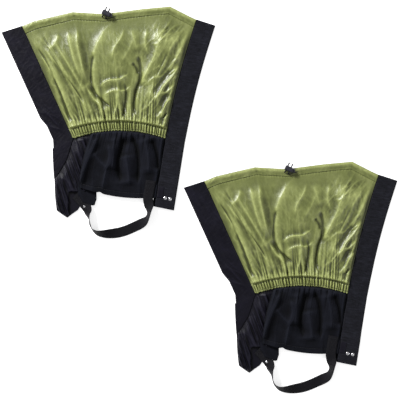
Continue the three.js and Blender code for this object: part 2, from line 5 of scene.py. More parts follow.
import bpy
import numpy as np
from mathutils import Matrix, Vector


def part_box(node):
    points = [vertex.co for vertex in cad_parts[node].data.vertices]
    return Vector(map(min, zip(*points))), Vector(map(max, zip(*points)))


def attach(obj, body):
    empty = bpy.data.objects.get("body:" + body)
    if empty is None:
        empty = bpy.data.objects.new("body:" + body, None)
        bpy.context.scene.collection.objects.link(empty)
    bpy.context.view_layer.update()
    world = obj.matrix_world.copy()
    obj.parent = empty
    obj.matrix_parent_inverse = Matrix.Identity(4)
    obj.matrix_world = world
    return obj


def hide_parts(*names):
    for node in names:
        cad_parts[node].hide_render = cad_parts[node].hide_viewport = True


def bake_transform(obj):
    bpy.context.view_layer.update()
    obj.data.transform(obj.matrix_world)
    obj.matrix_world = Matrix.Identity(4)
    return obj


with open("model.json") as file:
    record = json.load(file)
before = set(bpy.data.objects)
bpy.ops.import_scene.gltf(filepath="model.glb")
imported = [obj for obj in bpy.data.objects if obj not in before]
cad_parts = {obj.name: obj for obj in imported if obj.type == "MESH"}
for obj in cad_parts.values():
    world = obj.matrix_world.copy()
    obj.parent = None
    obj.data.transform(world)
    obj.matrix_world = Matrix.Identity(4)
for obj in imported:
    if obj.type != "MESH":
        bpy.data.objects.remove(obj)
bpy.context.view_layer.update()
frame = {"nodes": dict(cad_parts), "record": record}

MM = 0.001
JOINTS = {joint["name"]: joint for joint in frame["record"]["behaviour"]["joints"]}

# Cloth sizes in millimetres, as the CAD has them.
GAP = 0.3
KNEE_CROWN = [[0, 0], [0.07, 9], [0.29, 24], [0.47, 18], [0.69, 25], [0.85, 28], [0.96, 7], [1, 0]]
ANKLE_CROWN = 16
SEAM_BOW = 4.5
HEM_DEPTH = 15
CASING_DEPTH = 18
FLAP_WIDTH = 43
FLAP_STEP = 5.5
STRIP_WIDTH = 40
BOOT_DROP = 136
LOWER_HEM = 10
LOWER_LENGTH = 124
TAIL_DROP = 158
HOOK_TAPE_WIDTH = 34
STRIP_END_DROP = 1.6
WEB_WIDTH = 20

# Cord lock and drawcord, in millimetres.
LOCK_TILT = math.radians(-25)
LOCK_AT = 0.49
LOCK_SIZE = (17.6, 10, 9)
BUTTON_SIZE = (7.0, 7.2, 4.8)
BUTTON_AT = 9.1
CORD_RADIUS = 1.3
MELTED_RADII = (1.55, 1.6, 1.2)
CORD_MIDDLE = -1.2
CORD_OFFSET = 3.6
CORD_DEPTH = 4.6
CORD_HEIGHT = 2.15

# How the looks are drawn, in millimetres.
CLOTH_THICKNESS = 0.35
DOUBLED_THICKNESS = 0.5
LOWER_THICKNESS = 0.6
HEM_THICKNESS = 3.2
WEB_THICKNESS = 1.3
TUCKED_HEIGHT = 1.3
SEWN_HEIGHT = 1.4
FLOOR_CLEAR = 0.02

# A wave texture's Scale times the distance between its bands, in metres.
BAND_SCALE = 0.3125


# ---- The gaiter's own plane, in millimetres ----
def plan(name, joint):
    """A joint's point as seen from the gaiter's origin, and the origin itself, in millimetres."""
    left = np.array(JOINTS[f"{name}_storm_flap_fold"]["pos_m"][:2]) / MM
    right = np.array(JOINTS[f"{name}_closure_strip_fold"]["pos_m"][:2]) / MM
    origin = (left + right) / 2
    return np.array(JOINTS[f"{name}_{joint}"]["pos_m"][:2]) / MM - origin, origin


def corner(name, node, x_side, y_side):
    """A corner of a CAD node's box, from the gaiter's origin, in millimetres."""
    low_high = [np.array(point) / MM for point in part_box(f"{name}_{node}")]
    origin = plan(name, "storm_flap_fold")[1]
    return np.array([low_high[x_side][0], low_high[y_side][1]]) - origin


ANKLE_LEFT = plan("far", "storm_flap_fold")[0]
ANKLE_RIGHT = plan("far", "closure_strip_fold")[0]
SWING_LINE = plan("far", "instep_strap_swing")[0][1]
FLAP_AXIS = np.array(JOINTS["far_storm_flap_fold"]["axis"][:2])
STRIP_AXIS = np.array(JOINTS["far_closure_strip_fold"]["axis"][:2])
KNEE_TOP_LEFT = corner("far", "storm_flap", 1, 1)[1]
KNEE_LEFT = ANKLE_LEFT + FLAP_AXIS * (KNEE_TOP_LEFT - ANKLE_LEFT[1]) / FLAP_AXIS[1]
KNEE_RIGHT = np.array([corner("far", "top_hem", 1, 1)[0] + GAP, corner("far", "closure_strip", 1, 1)[1]])
BOOT_RIGHT = ANKLE_RIGHT - STRIP_AXIS * BOOT_DROP / STRIP_AXIS[1]
FLAP_OUT = np.array([-FLAP_AXIS[1], FLAP_AXIS[0]])


def unit(v):
    return v / np.linalg.norm(v)


def crown(u):
    table = np.array(KNEE_CROWN)
    return np.interp(u, table[:, 0], table[:, 1])


def left_seam(v):
    return ANKLE_LEFT + np.multiply.outer(v, KNEE_LEFT - ANKLE_LEFT)


def right_seam(v):
    along = unit(KNEE_RIGHT - ANKLE_RIGHT)
    inwards = np.array([-along[1], along[0]])
    straight = ANKLE_RIGHT + np.multiply.outer(v, KNEE_RIGHT - ANKLE_RIGHT)
    return straight + np.multiply.outer(SEAM_BOW * np.sin(np.pi * v), inwards)


def upper(u, v):
    """The upper cloth's grid: u from seam to seam, v from the ankle to the knee."""
    left, right = left_seam(v), right_seam(v)
    point = left + (right - left) * u[..., None]
    point[..., 1] += crown(u) * v + 4 * u * (1 - u) * ANKLE_CROWN * (1 - v)
    return point


def rise(u):
    one, nought = np.ones_like(u), np.zeros_like(u)
    return upper(u, one)[..., 1] - upper(u, nought)[..., 1]


def strip_inner(t):
    """The right seam all the way: t from -1 at the boot end, over 0 at the ankle, to 1."""
    below = ANKLE_RIGHT + np.multiply.outer(-np.minimum(t, 0), BOOT_RIGHT - ANKLE_RIGHT)
    return np.where(t[..., None] < 0, below, right_seam(np.maximum(t, 0)))


def strip_point(t, offset):
    ahead, behind = strip_inner(np.minimum(1, t + 0.02)), strip_inner(np.maximum(-1, t - 0.02))
    along = ahead - behind
    along /= np.linalg.norm(along, axis=-1, keepdims=True)
    out = np.stack([along[..., 1], -along[..., 0]], -1)
    point = strip_inner(t) + out * offset[..., None]
    point[..., 1] += STRIP_END_DROP * np.minimum(t, 0) * offset / STRIP_WIDTH
    return point


# ---- Noise and folds ----
def lattice(ix, iy, seed):
    value = np.sin(ix * 127.1 + iy * 311.7 + seed * 74.7) * 43758.5453
    return value - np.floor(value)


def noise(x, y, seed):
    """Smooth noise from 0 to 1 with a unit cell."""
    ix, iy = np.floor(x), np.floor(y)
    fx, fy = x - ix, y - iy
    fx, fy = fx * fx * (3 - 2 * fx), fy * fy * (3 - 2 * fy)
    low = lattice(ix, iy, seed) * (1 - fx) + lattice(ix + 1, iy, seed) * fx
    high = lattice(ix, iy + 1, seed) * (1 - fx) + lattice(ix + 1, iy + 1, seed) * fx
    return low * (1 - fy) + high * fy


def creases(x, y, seed):
    """Sharp crests between flat facets, as in stiff coated cloth."""
    bend = noise(x * 0.7, y * 0.7, seed + 9) * 1.5
    total = 0
    for octave, share in enumerate((0.6, 0.28, 0.12)):
        scale = 2**octave
        ridge = np.abs(2 * noise(x * scale + bend, y * scale - bend, seed + octave) - 1)
        total = total + share * (1 - ridge) ** 2
    return total


def smoothstep(low, high, value):
    t = np.clip((value - low) / (high - low), 0, 1)
    return t * t * (3 - 2 * t)


def spline(points, count):
    """Points on a smooth curve through the given ones."""
    pts = np.array(points, float)
    padded = np.vstack([2 * pts[0] - pts[1], pts, 2 * pts[-1] - pts[-2]])
    t = np.linspace(0, len(pts) - 1 - 1e-9, count)
    i = t.astype(int)
    f = (t - i)[:, None]
    p0, p1, p2, p3 = padded[i], padded[i + 1], padded[i + 2], padded[i + 3]
    square, cube = 2 * p0 - 5 * p1 + 4 * p2 - p3, 3 * p1 - p0 - 3 * p2 + p3
    return 0.5 * (2 * p1 + (p2 - p0) * f + square * f**2 + cube * f**3)


def fold(xy, points, height, left, right, ends=0.25):
    """A crest along a line: it falls off over the left and right widths, and fades at its ends."""
    line = spline(points, 28)
    best = np.full(xy.shape[:-1], 1e9)
    value = np.zeros(xy.shape[:-1])
    share = 1 / (len(line) - 1)
    for i in range(len(line) - 1):
        a, b = line[i], line[i + 1]
        d = b - a
        t = np.clip(((xy - a) @ d) / (d @ d), 0, 1)
        off = xy - (a + t[..., None] * d)
        distance = np.hypot(off[..., 0], off[..., 1])
        side = d[0] * off[..., 1] - d[1] * off[..., 0]
        width = np.where(side > 0, left, right)
        s = (i + t) * share
        fade = smoothstep(0, ends, s) * smoothstep(0, ends, 1 - s)
        crest = height * fade * np.exp(-((distance / width) ** 1.1))
        value = np.where(distance < best, crest, value)
        best = np.minimum(best, distance)
    return value


# Crests of the upper cloth: points, height, fall-off to the left and right of the line's way.
UPPER_FOLDS = [
    ([(-4, 238), (-26, 219), (-41, 194), (-51, 165), (-57, 134), (-62, 96)], 3.4, 24, 7.0),
    ([(-49, 172), (-54, 150), (-56, 128), (-54, 102)], -3.6, 3, 5),
    ([(-58, 110), (-47, 90), (-32, 74), (-16, 62)], -5.0, 3, 8),
    ([(-66, 104), (-51, 80), (-36, 63), (-30, 40)], 4.5, 9, 4),
    ([(38, 166), (42, 150), (43, 132), (38, 112)], -3.4, 3, 6),
    ([(22, 222), (31, 196), (37, 172)], 1.6, 12, 6),
    ([(47, 134), (40, 112), (33, 92), (30, 64), (35, 34)], -5.5, 4, 3.5),
    ([(41, 104), (52, 126), (68, 158), (80, 190), (92, 222)], 4.0, 9, 22),
    ([(26, 152), (34, 140), (40, 126)], -2.4, 3, 4),
    ([(12, 112), (14, 82), (10, 56), (3, 32)], -3.6, 5, 3),
    ([(-6, 98), (-3, 70), (-9, 44), (-6, 28)], 3.4, 5, 4),
    ([(-171, 192), (-147, 156), (-122, 104), (-104, 54), (-95, 24)], -4.4, 3, 7),
    ([(-164, 180), (-135, 132), (-110, 82), (-94, 40)], 4.0, 7, 3.5),
    ([(-154, 184), (-120, 143), (-88, 96), (-68, 64), (-56, 40)], 4.4, 9, 4),
    ([(-142, 176), (-112, 132), (-82, 90), (-66, 62)], -3.4, 3, 5),
    ([(-132, 198), (-104, 152), (-78, 108), (-64, 84)], 2.6, 12, 4),
    ([(-84, 224), (-82, 188), (-74, 150), (-64, 108)], 3.4, 5, 12),
    ([(-104, 218), (-98, 190), (-88, 152), (-72, 112)], 2.4, 9, 4),
    ([(134, 226), (108, 186), (86, 144), (66, 98), (50, 44)], 3.6, 7, 14),
    ([(104, 180), (84, 142), (66, 98)], -2.0, 3, 6),
    ([(122, 146), (104, 120), (86, 98), (72, 62)], 4.0, 5, 4),
    ([(130, 186), (112, 154), (98, 128)], 2.6, 5, 8),
    ([(112, 108), (96, 92), (80, 86), (68, 70)], 3.2, 4, 4),
    ([(108, 84), (92, 64), (82, 34)], 4.0, 6, 4),
    ([(98, 52), (88, 40), (84, 22)], -3, 3, 3),
    ([(-40, 101), (-22, 114), (2, 117), (22, 130)], 3.4, 3, 9),
    ([(-34, 84), (-10, 95), (10, 94), (27, 106)], 2.4, 4, 6),
    ([(12, 224), (4, 200), (-10, 176), (-14, 152)], 1.6, 4, 5),
    ([(30, 200), (20, 176), (4, 150)], 1.3, 8, 8),
    ([(-122, 210), (-126, 192), (-142, 174)], 2, 5, 5),
    ([(58, 220), (52, 194), (58, 166)], 1.8, 6, 6),
]
# Puffed areas of the upper cloth: x, y, radius in x and y, height.
UPPER_SWELLS = [
    (-8, 158, 36, 62, 6.5),
    (-104, 152, 34, 46, 4.0),
    (84, 190, 30, 40, 4.0),
    (-8, 84, 30, 22, 3.0),
    (66, 74, 18, 30, 3.0),
]
# Crests of the lower cloth, as for the upper one.
LOWER_FOLDS = [
    ([(-40, 4), (-54, -24), (-68, -61), (-78, -93)], 4.5, 5, 10),
    ([(-22, -8), (-18, -38), (-26, -67), (-34, -108)], 3, 9, 4),
    ([(13, 6), (4, -24), (-2, -53), (4, -90)], -4.5, 8, 7),
    ([(24, 8), (36, -21), (39, -53), (37, -93)], -4, 4, 8),
    ([(14, -30), (18, -60), (22, -96)], 3, 9, 9),
    ([(64, 2), (76, -33), (79, -67)], -3.5, 5, 5),
    ([(50, 4), (58, -30), (60, -74)], 2.8, 10, 8),
    ([(-52, -28), (-36, -48), (-22, -62)], 1.6, 6, 6),
    ([(-8, 6), (-10, -30), (-12, -64)], 2.6, 7, 7),
]


def gathers(u, count, seed):
    """Uneven pleats side by side, from 0 in the valleys to 1 on the crests."""
    phase = u * count + 0.9 * noise(u * count * 0.45, u * 0 + 3, seed)
    wave = 1 - np.abs(2 * (phase - np.floor(phase)) - 1)
    size = 0.45 + 0.55 * noise(np.floor(phase) + 0.5, u * 0 + 7, seed + 1)
    return wave**0.8 * size


def swell(xy, x, y, radius_x, radius_y, height):
    """A puffed area of cloth."""
    return height * np.exp(-(((xy[..., 0] - x) / radius_x) ** 2) - ((xy[..., 1] - y) / radius_y) ** 2)


def upper_height(u, v, xy):
    """The upper panel's loft: gathers at the casing, fine creases, then the drawn folds."""
    x, y = xy[..., 0], xy[..., 1]
    depth = v * rise(u) - CASING_DEPTH
    reach = 10 + 70 * noise(u * 17, u * 0 + 2, 4) ** 2.5
    short_reach = 6 + 30 * noise(u * 38, u * 0 + 2, 6) ** 2
    z = 3.4 + 1.5 * noise(x / 60, y / 60, 1)
    lean = u + 0.00022 * np.maximum(depth, 0) * np.sin(u * 23 + 1) * 1.6
    z = z + 6.0 * np.exp(-np.maximum(depth, 0) / reach) * gathers(lean, 17, 5)
    z = z + 6.0 * np.exp(-np.maximum(depth, 0) / short_reach) * gathers(lean, 36, 81) ** 1.2
    z = z + 1.8 * np.exp(-((depth / 34) ** 2)) * creases((x + 0.5 * y) / 9, (y - 0.5 * x) / 24, 57)
    radial = (x + 18) / (88 + depth)
    low_end, high_end = smoothstep(-20, 50, depth), smoothstep(190, 90, depth)
    z = z + 1.2 * creases(radial * 9, depth / 110, 21) * low_end * high_end
    z = z + 0.8 * creases(x / 19, y / 46, 31) + 0.4 * creases((x + 0.4 * y) / 6, y / 13, 41)
    z = z + 2.4 * smoothstep(0.66, 0.86, u) * creases((x - y * 0.7) / 15, (x + y) / 50, 51)
    z = z + 1.8 * smoothstep(0.3, 0.06, u) * creases((x + y * 0.62) / 13, (x - y) / 70, 54)
    for x_middle, y_middle, radius_x, radius_y, height in UPPER_SWELLS:
        z = z + swell(xy, x_middle, y_middle, radius_x, radius_y, height)
    for points, height, left, right in UPPER_FOLDS:
        z = z + fold(xy, points, 1.25 * height, left, right, 0.24)
    edge = smoothstep(0, 14, u * 340) * smoothstep(0, 10, (1 - u) * 340)
    from_hem = rise(u) - v * rise(u) - HEM_DEPTH
    knee = 0.22 + 0.78 * smoothstep(0, 46, from_hem)
    z = 1.1 + (np.maximum(z, 0.5) - 1.1) * (0.3 + 0.7 * edge) * knee
    z = np.maximum(z, 1.2) - 0.3 * np.exp(-((from_hem / 1.1) ** 2))
    pucker = 0.5 * gathers(u, 60, 58) * np.exp(-((from_hem / 5) ** 2))
    above_casing = smoothstep(-2.4, 3.0, depth)
    return TUCKED_HEIGHT + (z + pucker - TUCKED_HEIGHT) * above_casing


def lower_height(t, s, xy):
    """The lower panel: t across, s from 0 at the ankle to 1 at the hem."""
    x, y = xy[..., 0], xy[..., 1]
    z = 6.2 + 1.5 * noise(x / 45, y / 45, 61) + 2.0 * np.sin(np.pi * t)
    reach = 0.05 + 0.3 * noise(t * 13, t * 0 + 2, 62) ** 2
    z = z + 5.5 * np.exp(-s / reach) * (gathers(t, 13, 63) - 0.3)
    z = z + 1.2 * np.exp(-s / 0.3) * gathers(t, 31, 66)
    z = z + 0.7 * creases(x / 24, y / 60, 68) + 0.15 * creases(x / 7, y / 12, 69)
    for points, height, left, right in LOWER_FOLDS:
        z = z + fold(xy, points, 2.1 * height, 1.15 * left, 1.15 * right, 0.16)
    stitched = (1 - s) * LOWER_LENGTH - LOWER_HEM
    z = np.clip(z, 1.0, 16) - 0.4 * np.exp(-((stitched / 0.9) ** 2))
    return 0.9 + (z - 0.9) * smoothstep(-0.005, 0.05, s)


# ---- Materials: every one is made of nodes ----
def times(factor, color):
    return tuple(factor * c for c in color)


class Nodes:
    """A small helper around one material's node tree."""

    def __init__(self, name, roughness, metallic=0.0, specular=0.5):
        self.material = bpy.data.materials.new(name)
        self.material.use_nodes = True
        self.tree = self.material.node_tree
        self.shader = self.tree.nodes["Principled BSDF"]
        self.shader.inputs["Roughness"].default_value = roughness
        self.shader.inputs["Metallic"].default_value = metallic
        self.shader.inputs["Specular IOR Level"].default_value = specular

    def sheen(self, weight, roughness):
        self.shader.inputs["Sheen Weight"].default_value = weight
        self.shader.inputs["Sheen Roughness"].default_value = roughness

    def add(self, kind, **values):
        node = self.tree.nodes.new(kind)
        for key, value in values.items():
            if key in node.inputs:
                node.inputs[key].default_value = value
            else:
                setattr(node, key, value)
        return node

    def link(self, out, into):
        self.tree.links.new(out, into)

    def scaled(self, source, scale):
        mapping = self.add("ShaderNodeMapping")
        mapping.inputs["Scale"].default_value = scale
        self.link(source, mapping.inputs["Vector"])
        return mapping.outputs["Vector"]

    def coordinates(self):
        return self.add("ShaderNodeUVMap", uv_map="cloth").outputs["UV"]

    def solid_coordinates(self):
        return self.add("ShaderNodeTexCoord").outputs["Object"]

    def attribute(self, name):
        return self.add("ShaderNodeAttribute", attribute_name=name).outputs["Fac"]

    def noise(self, vector, scale, detail=3.0, roughness=0.55):
        node = self.add("ShaderNodeTexNoise", Scale=scale, Detail=detail, Roughness=roughness)
        self.link(vector, node.inputs["Vector"])
        return node.outputs["Fac"]

    def math(self, operation, a, b):
        node = self.add("ShaderNodeMath", operation=operation)
        for socket, value in zip(node.inputs, (a, b)):
            if isinstance(value, (int, float)):
                socket.default_value = value
            else:
                self.link(value, socket)
        return node.outputs[0]

    def ramp(self, factor, stops):
        node = self.add("ShaderNodeValToRGB")
        elements = node.color_ramp.elements
        while len(elements) < len(stops):
            elements.new(0.5)
        for element, (place, color) in zip(elements, stops):
            element.position = place
            element.color = (*color, 1)
        self.link(factor, node.inputs["Fac"])
        return node.outputs["Color"]

    def mix(self, factor, a, b, blend="MIX"):
        node = self.add("ShaderNodeMix", data_type="RGBA", blend_type=blend)
        for index, value in ((0, factor), (6, a), (7, b)):
            if isinstance(value, (int, float)):
                node.inputs[index].default_value = value
            elif isinstance(value, tuple):
                node.inputs[index].default_value = (*value, 1)
            else:
                self.link(value, node.inputs[index])
        return node.outputs[2]

    def bump(self, height, strength, distance, before=None):
        node = self.add("ShaderNodeBump", Strength=strength, Distance=distance)
        self.link(height, node.inputs["Height"])
        if before is not None:
            self.link(before, node.inputs["Normal"])
        return node.outputs["Normal"]

    def wave(self, vector, direction, pitch, **values):
        """Bands that lie a pitch apart, in metres."""
        scale = BAND_SCALE / pitch
        node = self.add("ShaderNodeTexWave", bands_direction=direction, Scale=scale, **values)
        self.link(vector, node.inputs["Vector"])
        return node.outputs["Fac"]

    def weave(self, vector, pitch):
        """Warp and weft threads, one pair of waves across the other."""
        waves = [self.wave(vector, direction, pitch, Distortion=0.4) for direction in ("X", "Y")]
        return self.math("MAXIMUM", *waves)

    def finish(self, color, normal=None, roughness=None):
        self.link(color, self.shader.inputs["Base Color"])
        if normal is not None:
            self.link(normal, self.shader.inputs["Normal"])
        if roughness is not None:
            self.link(roughness, self.shader.inputs["Roughness"])
        return self.material


def coated_cloth(name, dark, middle, light, roughness, highlight_and_wear, sheen, specular, coat, shade, pitch=0.0007):
    """Woven nylon with a shiny coat: clouded colour, fine weave, a painted highlight on the crests (partly
    pale crease wear) and painted shade in the hollows.
    """
    n = Nodes(name, roughness, specular=specular)
    n.sheen(sheen, 0.4)
    n.shader.inputs["Coat Weight"].default_value = coat
    n.shader.inputs["Coat Roughness"].default_value = 0.28
    at = n.coordinates()
    cloud = n.noise(at, 26, 4)
    color = n.ramp(cloud, [(0.3, dark), (0.52, middle), (0.74, light)])
    fine = n.noise(n.scaled(at, (1, 0.35, 1)), 900, 2)
    color = n.mix(n.math("MULTIPLY", fine, 0.22), color, dark)
    # Painted highlight on the crests, partly pale crease wear: they are lightened towards a pale tint.
    crest_highlight_and_wear = n.math("MULTIPLY", n.attribute("crest"), n.noise(at, 160, 3))
    pale = tuple(min(1, 2.4 * c + 0.01) for c in light)
    color = n.mix(n.math("MULTIPLY", crest_highlight_and_wear, highlight_and_wear), color, pale)
    # Painted shade: the hollows are darkened towards a deep tint.
    color = n.mix(n.math("MULTIPLY", n.attribute("hollow_shade"), shade), color, times(0.3, dark))
    weave = n.bump(n.weave(at, pitch), 0.25, 0.00012)
    crackle = n.bump(n.noise(at, 420, 4, 0.65), 0.35, 0.0006, weave)
    crackle = n.bump(n.noise(n.scaled(at, (1, 0.3, 1)), 150, 4, 0.6), 0.3, 0.0007, crackle)
    gloss = n.math("ADD", n.math("MULTIPLY", n.noise(at, 90, 3), 0.3), roughness - 0.15)
    return n.finish(color, crackle, gloss)


def matt_cloth(name, dark, middle, light, pitch=0.0009):
    """Uncoated woven cloth, with painted shade in its hollows and a painted highlight on its crests."""
    n = Nodes(name, 0.8, specular=0.1)
    n.sheen(0.02, 0.5)
    at = n.coordinates()
    color = n.ramp(n.noise(at, 40, 4), [(0.3, dark), (0.5, middle), (0.75, light)])
    speck = n.noise(at, 1500, 2)
    color = n.mix(n.math("MULTIPLY", speck, 0.35), color, light)
    # Painted shade in the hollows.
    color = n.mix(n.math("MULTIPLY", n.attribute("hollow_shade"), 0.85), color, times(0.25, dark))
    # Painted highlight on the crests.
    color = n.mix(n.math("MULTIPLY", n.attribute("crest"), 0.5), color, times(1.5, light))
    weave = n.bump(n.weave(at, pitch), 0.5, 0.00025)
    return n.finish(color, n.bump(n.noise(at, 300, 3), 0.2, 0.0004, weave))


def pile_tape(name, dark, light, scale, height, solid=False):
    """Hook or loop tape: a nap of tiny loops in rows across the tape."""
    n = Nodes(name, 0.9, specular=0.12)
    n.sheen(0.03, 0.6)
    at = n.solid_coordinates() if solid else n.coordinates()
    cells = n.add("ShaderNodeTexVoronoi", Scale=scale, Randomness=0.8)
    n.link(n.scaled(at, (1, 1.7, 1)), cells.inputs["Vector"])
    rows = n.wave(at, "Y", 0.0016, **{"Distortion": 2.5, "Detail": 2.0, "Detail Scale": 2.0})
    nap = n.math("ADD", n.math("MULTIPLY", rows, 0.5), cells.outputs["Distance"])
    color = n.ramp(nap, [(0.1, light), (0.55, dark), (0.95, times(0.4, dark))])
    streaks = n.noise(n.scaled(at, (0.25, 1.6, 1)), 240, 3, 0.7)
    faded = n.math("MULTIPLY", n.noise(at, 45, 4), n.math("POWER", streaks, 2.0))
    color = n.mix(n.math("MULTIPLY", faded, 2.2), color, times(2.0, light))
    return n.finish(color, n.bump(nap, 0.9, height))


def woven_web(name, dark, light, specular, solid=False):
    """Webbing: ribs across it, with warp threads between them."""
    n = Nodes(name, 0.65, specular=specular)
    n.sheen(0.03, 0.4)
    at = n.solid_coordinates() if solid else n.coordinates()
    ribs = n.wave(at, "Y", 0.0011, Distortion=0.6)
    warp = n.wave(at, "X", 0.0016, Distortion=0.3)
    height = n.math("ADD", ribs, n.math("MULTIPLY", warp, 0.6))
    color = n.ramp(height, [(0.1, times(0.4, dark)), (0.7, dark), (1.0, light)])
    color = n.mix(n.math("MULTIPLY", n.noise(at, 120, 4), 0.4), color, light)
    return n.finish(color, n.bump(height, 0.8, 0.0003))


def braided(name, dark, light):
    n = Nodes(name, 0.6, specular=0.2)
    at = n.coordinates()
    left = n.wave(at, "DIAGONAL", 0.0015)
    right = n.wave(n.scaled(at, (-1, 1, 1)), "DIAGONAL", 0.0015)
    height = n.math("MAXIMUM", left, right)
    return n.finish(n.ramp(height, [(0.3, dark), (1.0, light)]), n.bump(height, 0.8, 0.0003))


def moulded(name, dark, light):
    n = Nodes(name, 0.38, specular=0.5)
    at = n.solid_coordinates()
    color = n.ramp(n.noise(at, 300, 3), [(0.3, dark), (0.75, light)])
    gloss = n.math("ADD", n.math("MULTIPLY", n.noise(at, 700, 3), 0.25), 0.28)
    return n.finish(color, n.bump(n.noise(at, 2500, 2), 0.25, 0.0001), gloss)


def plated_steel(name, dark, light):
    n = Nodes(name, 0.22, metallic=1.0)
    at = n.solid_coordinates()
    color = n.ramp(n.noise(at, 500, 4), [(0.3, dark), (0.7, light)])
    gloss = n.math("ADD", n.math("MULTIPLY", n.noise(at, 1200, 4), 0.25), 0.12)
    return n.finish(color, n.bump(n.noise(at, 1800, 3), 0.2, 0.00008), gloss)


# Of these settings, two weigh the painted highlight on the crests (partly pale crease wear) and the painted
# shade in the hollows.
GREEN = coated_cloth(
    "green_cloth", dark=(0.135, 0.156, 0.042), middle=(0.178, 0.202, 0.06), light=(0.24, 0.265, 0.095),
    roughness=0.4, highlight_and_wear=0.7, sheen=0.04, specular=0.42, coat=0.12, shade=0.9,
)
FLAP = coated_cloth(
    "flap_cloth", dark=(0.003, 0.0026, 0.006), middle=(0.0052, 0.0047, 0.0098), light=(0.0088, 0.008, 0.0165),
    roughness=0.47, highlight_and_wear=0.45, sheen=0.0, specular=0.16, coat=0.0, shade=0.85,
)
MATT = matt_cloth("matt_cloth", (0.0016, 0.0018, 0.0032), (0.0034, 0.0038, 0.0066), (0.0072, 0.008, 0.013))
LOOP = pile_tape("loop_tape", (0.0028, 0.0028, 0.0042), (0.014, 0.0145, 0.021), 900, 0.0006)
HOOK_COLORS = ((0.004, 0.004, 0.005), (0.014, 0.014, 0.017))
HOOK = pile_tape("hook_tape", *HOOK_COLORS, 1300, 0.0007)
HOOK_FOOT = pile_tape("hook_tape_foot", *HOOK_COLORS, 1300, 0.0007, solid=True)
WEB = woven_web("webbing", (0.003, 0.0029, 0.0038), (0.0115, 0.011, 0.0145), 0.1)
CORD = braided("elastic_cord", (0.004, 0.004, 0.006), (0.02, 0.02, 0.028))
BAND = woven_web("elastic_band", (0.5, 0.48, 0.44), (0.75, 0.73, 0.68), 0.3, solid=True)
PLASTIC = moulded("black_plastic", (0.012, 0.012, 0.019), (0.028, 0.028, 0.04))
STEEL = plated_steel("steel", (0.6, 0.6, 0.62), (0.88, 0.88, 0.9))
THREAD_GREEN = braided("green_thread", (0.16, 0.19, 0.06), (0.26, 0.29, 0.11))
THREAD_BLACK = braided("black_thread", (0.004, 0.004, 0.005), (0.02, 0.02, 0.025))


# ---- Meshes: everything is drawn in one gaiter's millimetres and placed for both ----
def new_object(name, verts, faces, uvs, material, origin, crest=None, hollow_shade=None):
    """A smooth mesh from points in the gaiter's millimetres, with its cloth coordinates."""
    points = np.asarray(verts, float) * MM
    points[:, :2] += origin * MM
    mesh = bpy.data.meshes.new(name)
    mesh.from_pydata(points.tolist(), [], [list(map(int, face)) for face in faces])
    layer = mesh.uv_layers.new(name="cloth")
    loops = np.empty(len(mesh.loops), np.int32)
    mesh.loops.foreach_get("vertex_index", loops)
    layer.data.foreach_set("uv", (np.asarray(uvs, float) * MM)[loops].ravel())
    # The crest attribute carries a painted highlight, partly pale crease wear, and the other one painted
    # shade, for the materials.
    for label, values in (("crest", crest), ("hollow_shade", hollow_shade)):
        if values is not None:
            attribute = mesh.attributes.new(label, "FLOAT", "POINT")
            attribute.data.foreach_set("value", np.asarray(values, np.float32))
    mesh.polygons.foreach_set("use_smooth", np.ones(len(mesh.polygons), bool))
    mesh.materials.append(material)
    mesh.update()
    obj = bpy.data.objects.new(name, mesh)
    bpy.context.collection.objects.link(obj)
    return obj


def blurred(z, cells):
    """The grid's heights averaged over a square of neighbours."""
    for axis in (0, 1):
        pad = [(cells, cells) if k == axis else (0, 0) for k in range(2)]
        total = np.cumsum(np.pad(z, pad, mode="edge"), axis=axis)
        first = np.zeros_like(np.take(total, [0], axis=axis))
        total = np.concatenate([first, total], axis=axis)
        size, span = z.shape[axis], 2 * cells + 1
        ahead, behind = range(span, span + size), range(size)
        z = (np.take(total, ahead, axis=axis) - np.take(total, behind, axis=axis)) / span
    return z


def grid_sheet(xyz, thickness):
    """A closed thin sheet with the grid as its outer face."""
    rows, cols = xyz.shape[:2]
    top = xyz.reshape(-1, 3)
    bottom = top.copy()
    bottom[:, 2] = np.maximum(bottom[:, 2] - thickness, FLOOR_CLEAR)
    bottom[:, 2] = np.minimum(bottom[:, 2], top[:, 2] - 0.08)
    count = rows * cols
    index = np.arange(count).reshape(rows, cols)
    a, b, c, d = index[:-1, :-1], index[:-1, 1:], index[1:, 1:], index[1:, :-1]
    faces = np.stack([a, b, c, d], -1).reshape(-1, 4)
    normal = np.cross(xyz[0, 1] - xyz[0, 0], xyz[1, 0] - xyz[0, 0])[2]
    if normal < 0:
        faces = faces[:, ::-1]
    rim = np.concatenate([index[0, :-1], index[:-1, -1], index[-1, :0:-1], index[:0:-1, 0]])
    rim_next = np.roll(rim, -1)
    sides = np.stack([rim, rim + count, rim_next + count, rim_next], -1)
    if normal < 0:
        sides = sides[:, ::-1]
    return np.vstack([top, bottom]), np.vstack([faces, faces[:, ::-1] + count, sides])


def lengths(xyz, axis):
    """Distance run along the grid, for the weave's coordinates."""
    step = np.linalg.norm(np.diff(xyz[..., :2], axis=axis), axis=-1)
    pad = [(1, 0) if k == axis else (0, 0) for k in range(2)]
    return np.pad(np.cumsum(step, axis=axis), pad)


